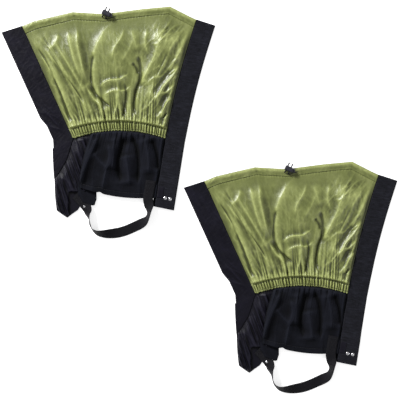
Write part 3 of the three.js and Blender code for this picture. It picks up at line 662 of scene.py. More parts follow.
def cloth_piece(name, origin, xyz, material, thickness=CLOTH_THICKNESS, gain=0.55, cells=5):
    """The gain sets how strongly the crests get a painted highlight (partly pale crease wear) and the hollows
    get painted shade.
    """
    verts, faces = grid_sheet(xyz, thickness)
    z = xyz[..., 2]
    # Where the sheet stands above its blurred self it gets a painted highlight, where it sinks below it gets
    # painted shade.
    bend = (z - blurred(z, cells)) + 0.6 * (z - blurred(z, 3 * cells))
    crest = np.clip(bend * gain, 0, 1).ravel()
    hollow_shade = np.clip(-bend * gain, 0, 1).ravel()
    across = lengths(xyz, 1)
    across = across - across.mean(axis=1, keepdims=True)
    uv = np.stack([across, lengths(xyz, 0)], -1).reshape(-1, 2)
    twice = [np.concatenate([values, values]) for values in (uv, crest, hollow_shade)]
    return new_object(name, verts, faces, twice[0], material, origin, twice[1], twice[2])


def grid(rows, cols, low=0.0, high=1.0):
    return np.meshgrid(np.linspace(0, 1, cols), np.linspace(low, high, rows))


def with_height(xy, z):
    return np.concatenate([xy, np.broadcast_to(z, xy.shape[:-1])[..., None]], -1)


def run_along(path):
    """The distance run from the path's start to each of its points."""
    return np.concatenate([[0], np.cumsum(np.linalg.norm(np.diff(path, axis=0), axis=1))])


def loft_faces(rings, sides, flipped=False):
    """Quads between rings of points, and one face over each end."""
    faces = []
    for i in range(rings - 1):
        for k in range(sides):
            a, b = i * sides + k, i * sides + (k + 1) % sides
            faces.append((a, a + sides, b + sides, b) if flipped else (a, b, b + sides, a + sides))
    first, last = tuple(range(sides)), tuple(range((rings - 1) * sides, rings * sides))
    return faces + ([first, last[::-1]] if flipped else [first[::-1], last])


def tube_mesh(path, radius, sides=10):
    """A closed tube along points, and its coordinates round and along it."""
    path = np.asarray(path, float)
    tangent = np.gradient(path, axis=0)
    tangent /= np.linalg.norm(tangent, axis=1, keepdims=True)
    up = np.array([0, 0, 1.0])
    side = np.cross(tangent, up)
    weak = np.linalg.norm(side, axis=1) < 0.2
    side[weak] = np.cross(tangent[weak], [1.0, 0, 0])
    for i in range(1, len(side)):
        if side[i] @ side[i - 1] < 0:
            side[i] *= -1
    side /= np.linalg.norm(side, axis=1, keepdims=True)
    other = np.cross(side, tangent)
    radii = np.broadcast_to(radius, len(path))
    angle = np.linspace(0, 2 * np.pi, sides, endpoint=False)
    cos, sin = np.cos(angle)[None, :, None], np.sin(angle)[None, :, None]
    ring = side[:, None] * cos + other[:, None] * sin
    verts = (path[:, None] + ring * radii[:, None, None]).reshape(-1, 3)
    around, along = angle[None, :] * np.max(radii), run_along(path)[:, None]
    uv = np.stack(np.broadcast_arrays(around, along), -1).reshape(-1, 2)
    return verts, loft_faces(len(path), sides), uv


def stitches(name, origin, path, material, stitch=2.6, spacing=3.4, radius=0.32):
    """A row of sewn thread: each stitch is a short rounded bead that dips in at both ends."""
    path = np.asarray(path, float)
    run = run_along(path)
    verts, faces, uvs = [], [], []
    offset = 0
    for start in np.arange(0.4, run[-1] - stitch, spacing):
        at = start + np.linspace(0, stitch, 5)
        line = np.stack([np.interp(at, run, path[:, k]) for k in range(3)], -1)
        line[:, 2] += np.array([-0.25, 0.1, 0.22, 0.1, -0.25])
        v, f, uv = tube_mesh(line, radius * np.array([0.7, 1, 1, 1, 0.7]), 6)
        verts.append(v)
        faces += [tuple(i + offset for i in face) for face in f]
        uvs.append(uv)
        offset += len(v)
    return new_object(name, np.vstack(verts), faces, np.vstack(uvs), material, origin)


# ---- Soft pieces by the two fold lines and the strap's swing line: their placement is baked into their meshes ----
def bend_right(piece):
    """Bakes the placement of a piece by the right fold line into its mesh."""
    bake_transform(piece)


def bend_left(piece):
    """Bakes the placement of a storm flap piece into its mesh."""
    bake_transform(piece)


def bend_strap(piece):
    """Bakes the placement of a webbing piece into its mesh."""
    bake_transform(piece)


# ---- Upper panel, hem and casing ----
def upper_panel(name, origin):
    u, d = grid(210, 300)
    total = rise(u)
    hidden = CASING_DEPTH * 0.9
    v = (hidden + d * (total - HEM_DEPTH - hidden)) / total
    xy = upper(u, v)
    xyz = with_height(xy, upper_height(u, v, xy))
    piece = cloth_piece(f"{name}_upper_cloth", origin, xyz, GREEN, gain=0.75)
    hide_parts(f"{name}_upper_panel")
    bend_right(piece)
    return piece


def knee_hem(name, origin):
    """The folded hem: a flat tunnel that swells a little over the drawcord in its bend."""
    u, d = grid(22, 300)
    total = rise(u)
    depth = HEM_DEPTH * (1 - d)
    v = 1 - depth / total
    xy = upper(u, v)
    tunnel = 1.5 * np.exp(-(((depth - CORD_DEPTH) / 4.2) ** 2)) + 1.0
    ripple = 0.25 * gathers(u, 30, 71) * smoothstep(HEM_DEPTH, 6, depth)
    ripple = ripple + 0.8 * creases(xy[..., 0] / 14, depth / 9, 73)
    z = upper_height(u, v, xy) * 0.5 + tunnel + ripple
    z = z * smoothstep(-0.9, 1.4, depth) + 0.25
    piece = cloth_piece(f"{name}_hem_fold", origin, with_height(xy, z), GREEN, thickness=HEM_THICKNESS)
    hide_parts(f"{name}_top_hem")
    bend_right(piece)
    line_u = np.linspace(0.01, 0.99, 260)
    line_v = 1 - (HEM_DEPTH - 1.0) / rise(line_u)
    line_xy = upper(line_u, line_v)
    line_z = np.interp(line_u, u[0], z[2]) + 0.12
    line = with_height(line_xy, line_z)
    thread = stitches(f"{name}_hem_stitches", origin, line, THREAD_GREEN, radius=0.22)
    bend_right(thread)


def casing(name, origin):
    """The ankle casing: a tunnel shirred by its elastic, with scalloped edges."""
    u, d = grid(30, 620)
    ruffle = gathers(u, 36, 81) ** 1.2
    fine = gathers(u, 74, 84)
    scallop = 2.6 * (gathers(u, 33, 88) - 0.45)
    depth = -0.8 + d * (CASING_DEPTH + 2.2) - scallop * (1 - smoothstep(0, 0.35, d))
    slant = 0.007 * np.sin(u * 37) * np.sin(np.pi * d) + 0.005 * np.sin(u * 91 + 2) * d
    xy = upper(np.clip(u + slant * np.sin(np.pi * u), 0, 1), depth / rise(u))
    body = np.sin(np.pi * np.clip(d, 0, 1)) ** 0.5
    seam = np.exp(-(((d - 0.18) / 0.05) ** 2)) + np.exp(-(((d - 0.84) / 0.05) ** 2))
    z = 1.2 + 1.6 * body + 6.0 * ruffle * (0.5 + 0.5 * body) + 1.6 * fine - 1.2 * seam
    ends = smoothstep(0, 0.012, u) * smoothstep(0, 0.012, 1 - u)
    elastic_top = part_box(f"{name}_ankle_elastic")[1].z / MM + 0.7
    over_elastic = smoothstep(0.04, 0.1, d) * smoothstep(0.96, 0.9, d)
    lowest = 1.5 + 1.2 * smoothstep(0.9, 1, d)
    z = np.maximum((z * (0.45 + 0.55 * ends)) * smoothstep(-0.05, 0.05, d), lowest)
    z = z + np.maximum(elastic_top - 0.3 - z, 0) * over_elastic + 0.5 * ruffle * over_elastic
    piece = cloth_piece(f"{name}_casing_cloth", origin, with_height(xy, z), GREEN, gain=1.0, cells=4)
    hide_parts(f"{name}_ankle_casing")
    bend_right(piece)
    for label, row in (("low", 5), ("high", 26)):
        line = with_height(xy[row], z[row] + 0.1)[6:-6]
        thread = stitches(f"{name}_casing_stitches_{label}", origin, line, THREAD_GREEN, 2.0, 2.5, 0.24)
        bend_right(thread)


# ---- Lower panel over the boot ----
PLEAT_START = 0.2
FOLD_FOOT = ANKLE_LEFT + np.array([13, -0.72 * BOOT_DROP])
HEM_RIGHT = BOOT_RIGHT + unit(ANKLE_RIGHT - BOOT_RIGHT) * 17
UNDER_WEB = 7.1
OVER_TAIL = 3.4
OVER_PLEAT = 7.0


def lower_point(t, s):
    """t across from the rolled left margin to the right seam, s from the ankle to the hem."""
    u = PLEAT_START + t * (1 - PLEAT_START)
    top = upper(u, np.zeros_like(u)) + np.array([0, 1.5])
    foot = FOLD_FOOT + (HEM_RIGHT - FOLD_FOOT) * t[..., None]
    foot[..., 1] += -8 * np.sin(np.pi * t) + 2.5 * np.exp(-(((t - 0.27) / 0.03) ** 2))
    point = top + (foot - top) * s[..., None]
    point[..., 0] += -5 * np.sin(np.pi * s) * (1 - t) ** 2
    return point


def lower_panel(name, origin):
    """It rolls under at the left, clears what lies below it, and is sewn down along the right seam."""
    t, s = grid(150, 190)
    xy = lower_point(t, s)
    z = lower_height(t, s, xy)
    roll = np.exp(-((t / 0.035) ** 2)) * smoothstep(0.0, 0.5, s)
    z = z + 2.4 * roll - 2.0 * np.exp(-((t / 0.012) ** 2))
    mouth = np.exp(-(((t - 0.13) / 0.1) ** 2)) * smoothstep(0.8, 1.0, s)
    z = z + 4 * mouth
    over_tail = smoothstep(0.5, 0.3, t) * smoothstep(0, 0.06, s)
    over_pleat = smoothstep(-40, -46, xy[..., 0]) * smoothstep(-54, -62, xy[..., 1])
    z = np.maximum(z, np.maximum(OVER_TAIL * over_tail, OVER_PLEAT * over_pleat))
    under_web = smoothstep(40, 46, xy[..., 0]) * smoothstep(-68, -78, xy[..., 1])
    z = z + (np.minimum(z, UNDER_WEB) - z) * under_web
    seam = smoothstep(0, 0.035, 1 - t)
    over_hook = smoothstep(-84, -96, xy[..., 1])
    z = z + (SEWN_HEIGHT + 0.12 * (z - SEWN_HEIGHT) - z) * (1 - seam) * (1 - over_hook)
    xyz = with_height(xy, z)
    piece = cloth_piece(f"{name}_boot_cloth", origin, xyz, MATT, thickness=LOWER_THICKNESS)
    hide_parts(f"{name}_lower_panel", f"{name}_lower_hem")
    bend_right(piece)
    row = int(len(s) * 0.92)
    line = with_height(xy[row], z[row] + 0.05)[4:-4]
    thread = stitches(f"{name}_boot_hem_stitches", origin, line, THREAD_BLACK)
    bend_right(thread)


def box_outline(name, node):
    """A CAD node's box seen from above, from the gaiter's origin."""
    low, high = (np.array(point[:2]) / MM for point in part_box(f"{name}_{node}"))
    origin = plan(name, "storm_flap_fold")[1]
    return low - origin, high - origin


def pleat(name, origin):
    """The folded-under margin, which shows below the hem with a soft lower edge."""
    low, high = box_outline(name, "pleat_layer")
    t, s = grid(60, 60)
    left = low[0] - 3 + 19 * smoothstep(0.45, 1, s)
    x = left + (high[0] - left) * t
    foot = low[1] + 2 + 3 * np.sin(6 * t) + 16 * smoothstep(0.3, 0, t) + 9 * smoothstep(0.88, 1, t)
    y = foot + (high[1] - foot) * s
    z = 5.0 + 0.4 * noise(x / 14, y / 14, 91) + 0.6 * creases(x / 12, y / 18, 93) * smoothstep(0.5, 0.2, s)
    z = z - 0.5 * smoothstep(0.06, 0, s) - 0.4 * smoothstep(0.94, 1, t)
    xyz = np.stack([x, y, z], -1)
    piece = cloth_piece(f"{name}_pleat_cloth", origin, xyz, MATT, thickness=LOWER_THICKNESS)
    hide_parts(f"{name}_pleat_layer")
    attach(piece, f"{name}_base")


# ---- Storm flap: a stiff doubled band that ends in a point over a crinkled single tail ----
# The band narrows by the flap's step between these shares of the seam.
NOTCH = [[0, 0.06, 0.18, 0.26, 1], [0, 1, 1, 0, 0]]
# How far below the ankle the band's point ends, and the same as a share of the seam.
POINT_DROP = 80
POINT_SHARE = 0.35
# Edges below the ankle, each as y and x.
BAND_OUTER = [(-80, -130), (-67, -131), (-40, -132.5), (-12, -133.2), (0, -131.2)]
BAND_INNER = [(-80, -129), (-75, -125), (-44, -106), (0, -92)]
TAIL_OUTER = [
    (-158, -104.5), (-151, -115), (-144, -125), (-118, -128), (-67, -130), (-40, -130.5), (20, -126),
]
TAIL_INNER = [
    (-158, -103), (-151, -94), (-143, -82.5), (-134, -77), (-112, -68), (-70, -56), (0, -38), (20, -36),
]


def curve_x(table, y):
    points = np.array(table, float)
    return np.interp(y, points[:, 0], points[:, 1])


def band_point(t, v):
    """t from the inner to the outer edge, v up the left seam; below 0 the band narrows to its point."""
    width = FLAP_WIDTH - FLAP_STEP * np.interp(v, *NOTCH)
    above = left_seam(np.maximum(v, 0)) + FLAP_OUT * (width * t)[..., None]
    above = above + FLAP_AXIS * (5 * t * smoothstep(0.7, 1, v))[..., None]
    y = np.minimum(v, 0) * POINT_DROP / POINT_SHARE
    x_inner, x_outer = curve_x(BAND_INNER, y), curve_x(BAND_OUTER, y)
    slope = FLAP_OUT[1] * FLAP_WIDTH * t * smoothstep(-0.1, 0, v)
    below = np.stack([x_inner + (x_outer - x_inner) * t, y + slope], -1)
    return np.where(v[..., None] >= 0, above, below)


def band_height(t, v, xy):
    """Flat along the seam, with wrinkles above the ankle and halfway up."""
    x, y = xy[..., 0], xy[..., 1]
    z = 2.5 + 0.6 * noise(x / 30, y / 30, 101) + 0.4 * creases((x + y) / 26, (x - y) / 9, 103)
    kink = np.exp(-(((v - 0.22) / 0.14) ** 2))
    z = z + 3.0 * kink * smoothstep(0.05, 0.5, t) * creases((y * 0.8 + 0.6 * x) / 8, (x - y) / 60, 105)
    along = np.exp(-(((v - 0.62) / 0.3) ** 2))
    z = z + 1.2 * along * creases((x * 0.8 + y * 0.6) / 8, (x * 0.5 - y) / 90, 107)
    z = z + 0.9 * smoothstep(0.1, -0.05, v)
    inner_edge = smoothstep(0.06, 0.0, t) * smoothstep(-0.02, 0.02, v)
    return z - 0.5 * smoothstep(0.94, 1.0, t) - 0.4 * inner_edge


def flap_band(name, origin):
    t, v = grid(300, 70, -POINT_SHARE)
    xy = band_point(t, v)
    xyz = with_height(xy, band_height(t, v, xy))
    piece = cloth_piece(f"{name}_flap_cloth", origin, xyz, FLAP, DOUBLED_THICKNESS)
    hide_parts(f"{name}_storm_flap")
    bend_left(piece)
    for label, inset in (("outer", 0.95), ("inner", 0.05)):
        v = np.linspace(0.005, 0.99, 200)
        t = np.full_like(v, inset)
        xy = band_point(t, v)
        line = with_height(xy, band_height(t, v, xy) + 0.02)
        thread = stitches(f"{name}_flap_stitches_{label}", origin, line, THREAD_BLACK, radius=0.25)
        bend_left(thread)


def flap_tail(name, origin):
    """The crinkled single cloth under the band's point, from below the casing to the tip."""
    t, k = grid(230, 110)
    y = -TAIL_DROP + k * TAIL_DROP
    x_inner, x_outer = curve_x(TAIL_INNER, y), curve_x(TAIL_OUTER, y)
    x = x_inner + (x_outer - x_inner) * t
    top = np.interp(x, [-140, -100, -92, -80, -60, -36], [-12, -3, 3.5, 6.5, 11.5, 16])
    y = y + top * smoothstep(0.7, 1, k)
    xy = np.stack([x, y], -1)
    loose = smoothstep(0, 0.03, t) * smoothstep(1, 0.93, t) * smoothstep(0, 0.05, k)
    wrinkle = 6.0 * creases((x + 0.36 * y) / 9, y / 90, 109)
    wrinkle = wrinkle + 2.2 * creases((x + 0.33 * y) / 4.2, y / 50, 113)
    under_band = smoothstep(20, -4, x - curve_x(BAND_INNER, y)) * smoothstep(-92, -70, y)
    under_panel = smoothstep(-74, -62, x + 0.3 * (y + 70) * (y < -70)) * smoothstep(-150, -140, y)
    under_strap = smoothstep(-104, -94, x) * smoothstep(-104, -112, y)
    under_casing = smoothstep(-8, -1, y - np.interp(x, [-92, -60, -36], [0, 7, 12]))
    pressed = 1 - np.clip(under_band + 0.8 * under_panel + 0.85 * under_strap, 0, 1)
    z = 1.95 + (0.2 + wrinkle * loose) * pressed * (1 - under_casing)
    z = z - 0.75 * smoothstep(-92, -84, x) * smoothstep(-20, -6, y)
    z = z + (np.minimum(z, 2.2) - z) * smoothstep(0, 0.5, under_strap)
    xyz = with_height(xy, z)
    piece = cloth_piece(f"{name}_tail_cloth", origin, xyz, FLAP, DOUBLED_THICKNESS, gain=0.9, cells=4)
    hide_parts(f"{name}_storm_flap_tail")
    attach(piece, f"{name}_base")


def hook_tape(name, origin):
    inset = (FLAP_WIDTH - HOOK_TAPE_WIDTH) / 2
    t, v = grid(150, 24, 0.005)
    width = FLAP_WIDTH - 2 * inset - FLAP_STEP * np.interp(v, *NOTCH)
    xy = left_seam(v) + FLAP_OUT * (inset + width * t)[..., None]
    z = 1.15 + 0.05 * np.cos(t * 60)
    piece = cloth_piece(f"{name}_hook_tape_nap", origin, with_height(xy, z), HOOK, thickness=1.1)
    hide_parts(f"{name}_hook_tape")
    bend_left(piece)


# ---- Closure strip, loop tape, corner patch ----
def strip_lift(t):
    """The strip's lower end rises over the lace hook."""
    return 3 * smoothstep(0.5, 0.68, -t) + 0.3 * (t < -0.5)


def strip_pieces(name, origin):
    t_rows = np.linspace(-1, 1, 320)
    specs = [
        ("backing", "closure_strip", -4.0, STRIP_WIDTH, 1.0, 0.9, MATT, "matt_cloth"),
        ("loop_nap", "loop_tape", 1.0, STRIP_WIDTH - 1.0, 2.4, 1.0, LOOP, "loop_tape"),
    ]
    for label, node, inner, outer, level, thickness, material, slot in specs:
        k, t = np.meshgrid(np.linspace(0, 1, 46), t_rows)
        xy = strip_point(t, inner + (outer - inner) * k)
        x, y = xy[..., 0], xy[..., 1]
        z = level + strip_lift(t) + 0.35 * noise(x / 22, y / 22, 121) + 0.25 * noise(x / 4, y / 4, 122)
        if label == "backing":
            z = np.where(k * (outer - inner) + inner < 0.4, 0.6, z)
        if label == "loop_nap":
            z = z + 0.3 * noise(x / 1.3, y / 1.3, 125) - 0.5 * smoothstep(0.93, 1, np.abs(2 * k - 1))
        piece = cloth_piece(f"{name}_{label}", origin, with_height(xy, z), material, thickness=thickness)
        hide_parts(f"{name}_{node}")
        bend_right(piece)
    for label, offset in (("inner", 2.6), ("outer", STRIP_WIDTH - 2.6)):
        t = np.linspace(-0.99, 0.995, 300)
        xy = strip_point(t, np.full_like(t, offset))
        line = with_height(xy, 2.75 + strip_lift(t))
        thread = stitches(f"{name}_strip_stitches_{label}", origin, line, THREAD_BLACK)
        bend_right(thread)


# The corner patch lies between these shares of the strip's lower run.
PATCH_LOW = -0.86
PATCH_HIGH = -0.7
PATCH_WIDTH = 12


def corner_patch(name, origin):
    k, t = grid(30, 20, PATCH_LOW, PATCH_HIGH)
    xy = strip_point(t, 2 + PATCH_WIDTH * k)
    z = 3.45 + strip_lift(t) + 0.25 * noise(xy[..., 0] / 6, xy[..., 1] / 6, 131)
    along = np.minimum(t - PATCH_LOW, PATCH_HIGH - t) * BOOT_DROP
    edge = np.minimum(np.minimum(k, 1 - k) * PATCH_WIDTH, along)
    z = z - 0.5 * smoothstep(1.2, 0, edge)
    xyz = with_height(xy, z)
    piece = cloth_piece(f"{name}_patch_cloth", origin, xyz, FLAP, thickness=DOUBLED_THICKNESS)
    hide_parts(f"{name}_corner_patch")
    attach(piece, f"{name}_closure_strip")


# ---- Webbing ----
def web_route(name):
    """Stations x, y, base height and tilt of the whole strap, sewn end to sewn end."""
    left, right = ANKLE_LEFT[0] + 29, BOOT_RIGHT[0] - WEB_WIDTH / 2 - 1.5
    inside = np.array(-WEB_WIDTH / 2 - 4.5)
    s = SWING_LINE
    left_end = [
        (left - 24.3, s + 32, 2.75, 0),
        (left - 16, s + 23.7, 2.75, 0),
        (left - 8.5, s + 16.2, 2.75, 0),
        (left - 3, s + 9, 2.2, 6),
    ]
    loop = [
        (left, s + 2, 0.9, 26), (left + 0.6, s - 5, 0.3, 52), (left + 2, s - 11, 0, 70),
        (left + 4, s - 18, 0, 84), (left + 5.5, s - 27, 0, 89), (left + 10, s - 36.5, 0, 80),
        (left + 19.5, s - 43.5, 0, 60), (left + 32, s - 45.6, 0, 40), (left + 46.5, s - 45.1, 0, 18),
        (left + 62, s - 43, 0, 4), (left + 77.5, s - 38.5, 0, 0), (left + 92.5, s - 32, 0, 0),
        (left + 103, s - 27, 0, -8), (left + 112, s - 21.5, 0, -30), (left + 119, s - 14, 0, -60),
    ]
    rising = [(right + 1, s - 5, 0.4, -66), (right + 1.5, s + 3, 1.6, -50), (right + 1, s + 12, 4.4, -14)]
    tab = [(*strip_point(np.array(t), inside), 7.7, tilt) for t, tilt in ((-0.9, -2), (-0.8, 0), (-0.64, 0))]
    return left_end + loop + rising + tab


def webbing(name, origin):
    """One length of webbing, flat at its sewn ends and on its edge where it bends round."""
    route = spline(web_route(name), 420)
    path, base, tilt = route[:, :2], np.maximum(route[:, 2], 0), np.radians(route[:, 3])
    tangent = np.gradient(path, axis=0)
    tangent /= np.linalg.norm(tangent, axis=1, keepdims=True)
    side = np.stack([-tangent[:, 1], tangent[:, 0]], -1)
    w = np.linspace(-WEB_WIDTH / 2, WEB_WIDTH / 2, 14)
    rounding = 1 - 0.7 * (np.abs(w) / (WEB_WIDTH / 2)) ** 8
    half = WEB_THICKNESS / 2 * rounding
    section = np.concatenate([np.stack([w, half], -1), np.stack([w[::-1], -half], -1)])
    run = run_along(path)
    edge_on, flat_on = np.abs(np.sin(tilt)), np.abs(np.cos(tilt))
    middle = base + WEB_WIDTH * edge_on / 2 + WEB_THICKNESS * flat_on / 2
    rib = 1 + 0.1 * np.sin(run * 2 * np.pi / 1.4)
    c, s = np.cos(tilt)[:, None], np.sin(tilt)[:, None]
    across = section[None, :, 0] * c - section[None, :, 1] * rib[:, None] * s
    up = section[None, :, 0] * s + section[None, :, 1] * rib[:, None] * c
    flat = path[:, None] + side[:, None] * across[..., None]
    verts = np.concatenate([flat, (middle[:, None] + up)[..., None]], -1)
    faces = loft_faces(len(run), len(section), flipped=True)
    uv = np.stack(np.broadcast_arrays(section[None, :, 0], run[:, None]), -1).reshape(-1, 2)
    piece = new_object(f"{name}_strap_webbing", verts.reshape(-1, 3), faces, uv, WEB, origin)
    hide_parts(f"{name}_instep_strap", f"{name}_strap_end_left", f"{name}_strap_end_right")
    bend_strap(piece)
    top = middle + WEB_THICKNESS / 2
    for label, start, end in (("left", 4, 30), ("right", run[-1] - 30, run[-1] - 4)):
        box_stitch(name, origin, label, start, end, run, path, side, top, tilt)


def box_stitch(name, origin, label, start, end, run, path, side, top, tilt):
    """A sewn box with a cross in it, on the webbing's end."""
    reach = WEB_WIDTH / 2 - 3

    def on_web(along, across):
        middle = [np.interp(along, run, path[:, k]) for k in range(2)]
        aside = [across * np.interp(along, run, side[:, k]) for k in range(2)]
        lean = across * np.sin(np.interp(along, run, tilt))
        height = np.interp(along, run, top) + lean + 0.05
        return np.array([middle[0] + aside[0], middle[1] + aside[1], height])

    corners = [(start, -reach), (end, -reach), (end, reach), (start, reach), (start, -reach), (end, reach)]
    lines = corners + [(end, -reach), (start, reach)]
    points = []
    for a, b in zip(lines[:-1], lines[1:]):
        a, b = np.array(a), np.array(b)
        points += [on_web(*(a + (b - a) * f)) for f in np.linspace(0, 0.98, 14)]
    sewn = f"{name}_box_stitch_{label}"
    thread = stitches(sewn, origin, np.array(points), THREAD_BLACK, 2.0, 2.7, 0.3)
    bend_strap(thread)


# ---- Cord lock, drawcord, rivets ----
def lock_centre(name):
    """The cord lock's centre, from the gaiter's origin."""
    low, high = (np.array(point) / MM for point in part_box(f"{name}_cord_lock_body"))
    origin = plan(name, "storm_flap_fold")[1]
    centre = (low + high) / 2
    return np.array([*(centre[:2] - origin), centre[2]])


def turned(points, centre):
    """Points in the cord lock's own directions, put in place."""
    c, s = math.cos(LOCK_TILT), math.sin(LOCK_TILT)
    p = np.asarray(points, float)
    return np.stack([p[..., 0] * c - p[..., 1] * s, p[..., 0] * s + p[..., 1] * c, p[..., 2]], -1) + centre


def rounded_block(length, width, height, radius, soft=1.6, rings=9, corner=8):
    """A moulded block along x with round edges and softened ends."""
    section = []
    for k, (sy, sz) in enumerate(((1, 1), (-1, 1), (-1, -1), (1, -1))):
        y_middle, z_middle = sy * (width / 2 - radius), sz * (height / 2 - radius)
        for angle in np.linspace(0, np.pi / 2, corner) + k * np.pi / 2:
            section.append((y_middle + radius * np.cos(angle), z_middle + radius * np.sin(angle)))
    ends = soft * (1 - np.sin(np.linspace(0, np.pi / 2, rings)))
    middle = np.linspace(-length / 2 + soft, length / 2 - soft, 14)[1:-1]
    xs = np.concatenate([-length / 2 + ends[::-1], middle, length / 2 - ends])
    past = np.maximum(0, np.abs(xs) - length / 2 + soft)
    inset = soft - np.sqrt(np.maximum(0, soft**2 - past**2))
    grow = np.maximum(1 - inset / (min(width, height) / 2), 0.55)
    verts = np.array([[x, y * g, z * g] for x, g in zip(xs, grow) for y, z in section])
    return verts, loft_faces(len(xs), len(section))


def cord_lock(name, origin):
    """A grooved body with a plunger at one end and a collar round each cord."""
    centre = lock_centre(name)
    verts, faces = rounded_block(*LOCK_SIZE, 3.0)
    grooves = 0.28 * np.cos(verts[:, 0] * 2 * np.pi / 2.2) * (np.abs(verts[:, 0]) < 6)
    verts[:, 2] += np.sign(verts[:, 2]) * grooves * (np.abs(verts[:, 2]) > 3)
    piece = new_object(f"{name}_lock_shell", turned(verts, centre), faces, verts[:, :2], PLASTIC, origin)
    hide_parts(f"{name}_cord_lock_body")
    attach(piece, f"{name}_cord_lock")
    verts, faces = rounded_block(*BUTTON_SIZE, 1.4)
    verts[:, 0] += BUTTON_AT
    placed = turned(verts, centre)
    button = new_object(f"{name}_lock_plunger", placed, faces, verts[:, :2], PLASTIC, origin)
    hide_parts(f"{name}_cord_lock_button")
    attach(button, f"{name}_lock_button")
    for side, x in (("left", -CORD_OFFSET + CORD_MIDDLE), ("right", CORD_OFFSET + CORD_MIDDLE)):
        v, f, uv = tube_mesh(turned([(x, 4.4, 0), (x, 5.5, 0)], centre), 2.3, 16)
        collar = new_object(f"{name}_lock_collar_{side}", v, f, uv, PLASTIC, origin)
        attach(collar, f"{name}_cord_lock")


def drawcords(name, origin):
    """Each half runs in the hem, comes up through the buttonhole and ends beyond the lock, melted off."""
    centre = lock_centre(name)
    for label, side, end in (("left", -1, 0.0), ("right", 1, 1.0)):
        ts = np.array([0.02, 0.15, 0.3, 0.5, 0.7, 0.88])
        us = end + (LOCK_AT - end) * ts
        in_hem = [(*p, CORD_HEIGHT) for p in upper(us, 1 - (CORD_DEPTH + 3 * ts**2) / rise(us))]
        x = CORD_MIDDLE + side * CORD_OFFSET
        rising = [
            (x + side * 4, -7.8, CORD_HEIGHT - centre[2]),
            (x + side * 1.4, -8.6, 3 - centre[2]),
            (x, -8.6, 6 - centre[2]),
            (x, -6.8, -0.2),
        ]
        through = [(x, -4, 0), (x, 2, 0), (x, 7, 0), (x, 12.2, 0)]
        path = spline([*in_hem, *map(tuple, turned(rising + through, centre))], 170)
        radii = np.full(len(path), CORD_RADIUS)
        radii[-3:] = MELTED_RADII
        v, f, uv = tube_mesh(path, radii, 12)
        cord = new_object(f"{name}_cord_{label}", v, f, uv, CORD, origin)
        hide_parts(f"{name}_drawcord_{label}")
        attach(cord, f"{name}_base")


def dome(name, origin, node, body, radius, rise_mm):
    """A plated rivet head with a rolled rim and a small dimple."""
    low, high = (np.array(point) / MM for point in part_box(f"{name}_{node}"))
    x, y = ((low + high) / 2)[:2] - plan(name, "storm_flap_fold")[1]
    top = high[2]
    dimple = [(0, top - 0.25), (0.6, top - 0.2), (1.1, top)]
    head = [(0.55 * radius, top - 0.1), (0.8 * radius, top - 0.45), (0.96 * radius, top - 0.9)]
    rim = [(radius, top - 0.75 * rise_mm), (0.97 * radius, top - rise_mm - 0.1)]
    shank = [(1.35, top - rise_mm - 0.15), (1.35, low[2] + 0.7)]
    foot = [(2.2, low[2] + 0.6), (2.0, low[2]), (0, low[2])]
    profile = dimple + head + rim + shank + foot
    angle = np.linspace(0, 2 * np.pi, 40, endpoint=False)
    rings = [(r, z) for r, z in profile if r > 0]
    verts = [(x, y, profile[0][1])]
    verts += [(x + r * math.cos(a), y + r * math.sin(a), z) for r, z in rings for a in angle]
    verts.append((x, y, profile[-1][1]))
    n = len(angle)
    faces = [(0, 1 + (k + 1) % n, 1 + k)[::-1] for k in range(n)]
    for i in range(len(rings) - 1):
        for k in range(n):
            a, b = 1 + i * n + k, 1 + i * n + (k + 1) % n
            faces.append((a, a + n, b + n, b))
    last, base = len(verts) - 1, 1 + (len(rings) - 1) * n
    faces += [(last, base + (k + 1) % n, base + k) for k in range(n)]
    verts = np.array(verts)
    piece = new_object(f"{name}_{node}_head", verts, faces, verts[:, :2], STEEL, origin)
    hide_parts(f"{name}_{node}")
    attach(piece, f"{name}_{body}")


RIVETS = (  # node, body, radius and rise of the head
    ("inner_rivet", "closure_strip", 3.5, 1.5),
    ("outer_rivet", "closure_strip", 3.5, 1.5),
    ("strap_rivet", "base", 2.3, 0.9),
)
# CAD nodes that stay visible, with their materials.
CARRIED_OVER = (
    ("lace_hook", STEEL), ("cord_lock_spring", STEEL), ("ankle_elastic", BAND), ("hook_tape_foot", HOOK_FOOT),
)
PIECES = (
    upper_panel, knee_hem, casing, lower_panel, pleat, flap_band, flap_tail, hook_tape, strip_pieces,
    corner_patch, webbing, cord_lock, drawcords,
)


def gaiter(name):
    origin = plan(name, "storm_flap_fold")[1]
    for build in PIECES:
        build(name, origin)
    for rivet in RIVETS:
        dome(name, origin, *rivet)
    for node, material in CARRIED_OVER:
        frame["nodes"][f"{name}_{node}"].material_slots[0].material = material


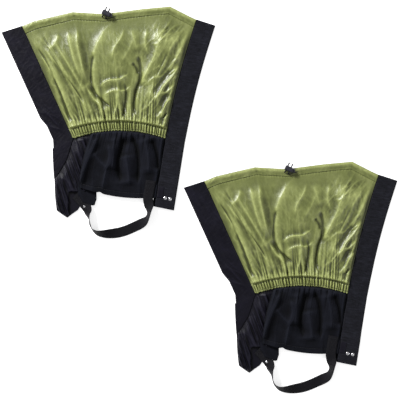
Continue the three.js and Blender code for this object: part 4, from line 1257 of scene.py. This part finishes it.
# ---- Camera, floor and light ----
LENS = 100
SENSOR = 36
VIEW_WIDTH = 0.8
FLOOR_SIZE = 6.0
FLOOR_LEVEL = -0.0006
FLOOR_GLOW = 0.66
WORLD_STRENGTH = 0.36


def camera():
    """Straight down, so that the view's width at the floor is the photo's."""
    data = bpy.data.cameras.new("camera")
    data.lens = LENS
    data.sensor_width = SENSOR
    data.clip_end = 20
    obj = bpy.data.objects.new("camera", data)
    obj.location = (0, 0, LENS / SENSOR * VIEW_WIDTH)
    bpy.context.collection.objects.link(obj)
    bpy.context.scene.camera = obj


def floor():
    mesh = bpy.data.meshes.new("floor")
    corners = [(x * FLOOR_SIZE, y * FLOOR_SIZE, FLOOR_LEVEL) for x, y in ((-1, -1), (1, -1), (1, 1), (-1, 1))]
    mesh.from_pydata(corners, [], [(0, 1, 2, 3)])
    n = Nodes("floor", 0.9, specular=0.2)
    shades = [(0.3, (0.9, 0.9, 0.9)), (0.7, (0.93, 0.93, 0.93))]
    color = n.ramp(n.noise(n.solid_coordinates(), 3, 2), shades)
    n.shader.inputs["Emission Color"].default_value = (1, 1, 1, 1)
    n.shader.inputs["Emission Strength"].default_value = FLOOR_GLOW
    mesh.materials.append(n.finish(color))
    obj = bpy.data.objects.new("floor", mesh)
    bpy.context.collection.objects.link(obj)


def area_light(label, place, target, size, power):
    data = bpy.data.lights.new(label, "AREA")
    data.size = size
    data.energy = power
    obj = bpy.data.objects.new(label, data)
    obj.location = place
    obj.rotation_euler = (Vector(target) - Vector(place)).to_track_quat("-Z", "Y").to_euler()
    bpy.context.collection.objects.link(obj)


def lighting():
    world = bpy.data.worlds.new("studio")
    world.use_nodes = True
    background = world.node_tree.nodes["Background"]
    background.inputs["Color"].default_value = (1, 1, 1, 1)
    background.inputs["Strength"].default_value = WORLD_STRENGTH
    bpy.context.scene.world = world
    area_light("key", place=(-3.3, 3.6, 3.2), target=(0, 0, 0), size=1.2, power=470)
    area_light("fill", place=(2.6, -1.4, 2.6), target=(0, 0, 0), size=1.6, power=16)
    bpy.context.scene.view_settings.view_transform = "Standard"


camera()
for side_name in ("far", "near"):
    gaiter(side_name)
floor()
lighting()
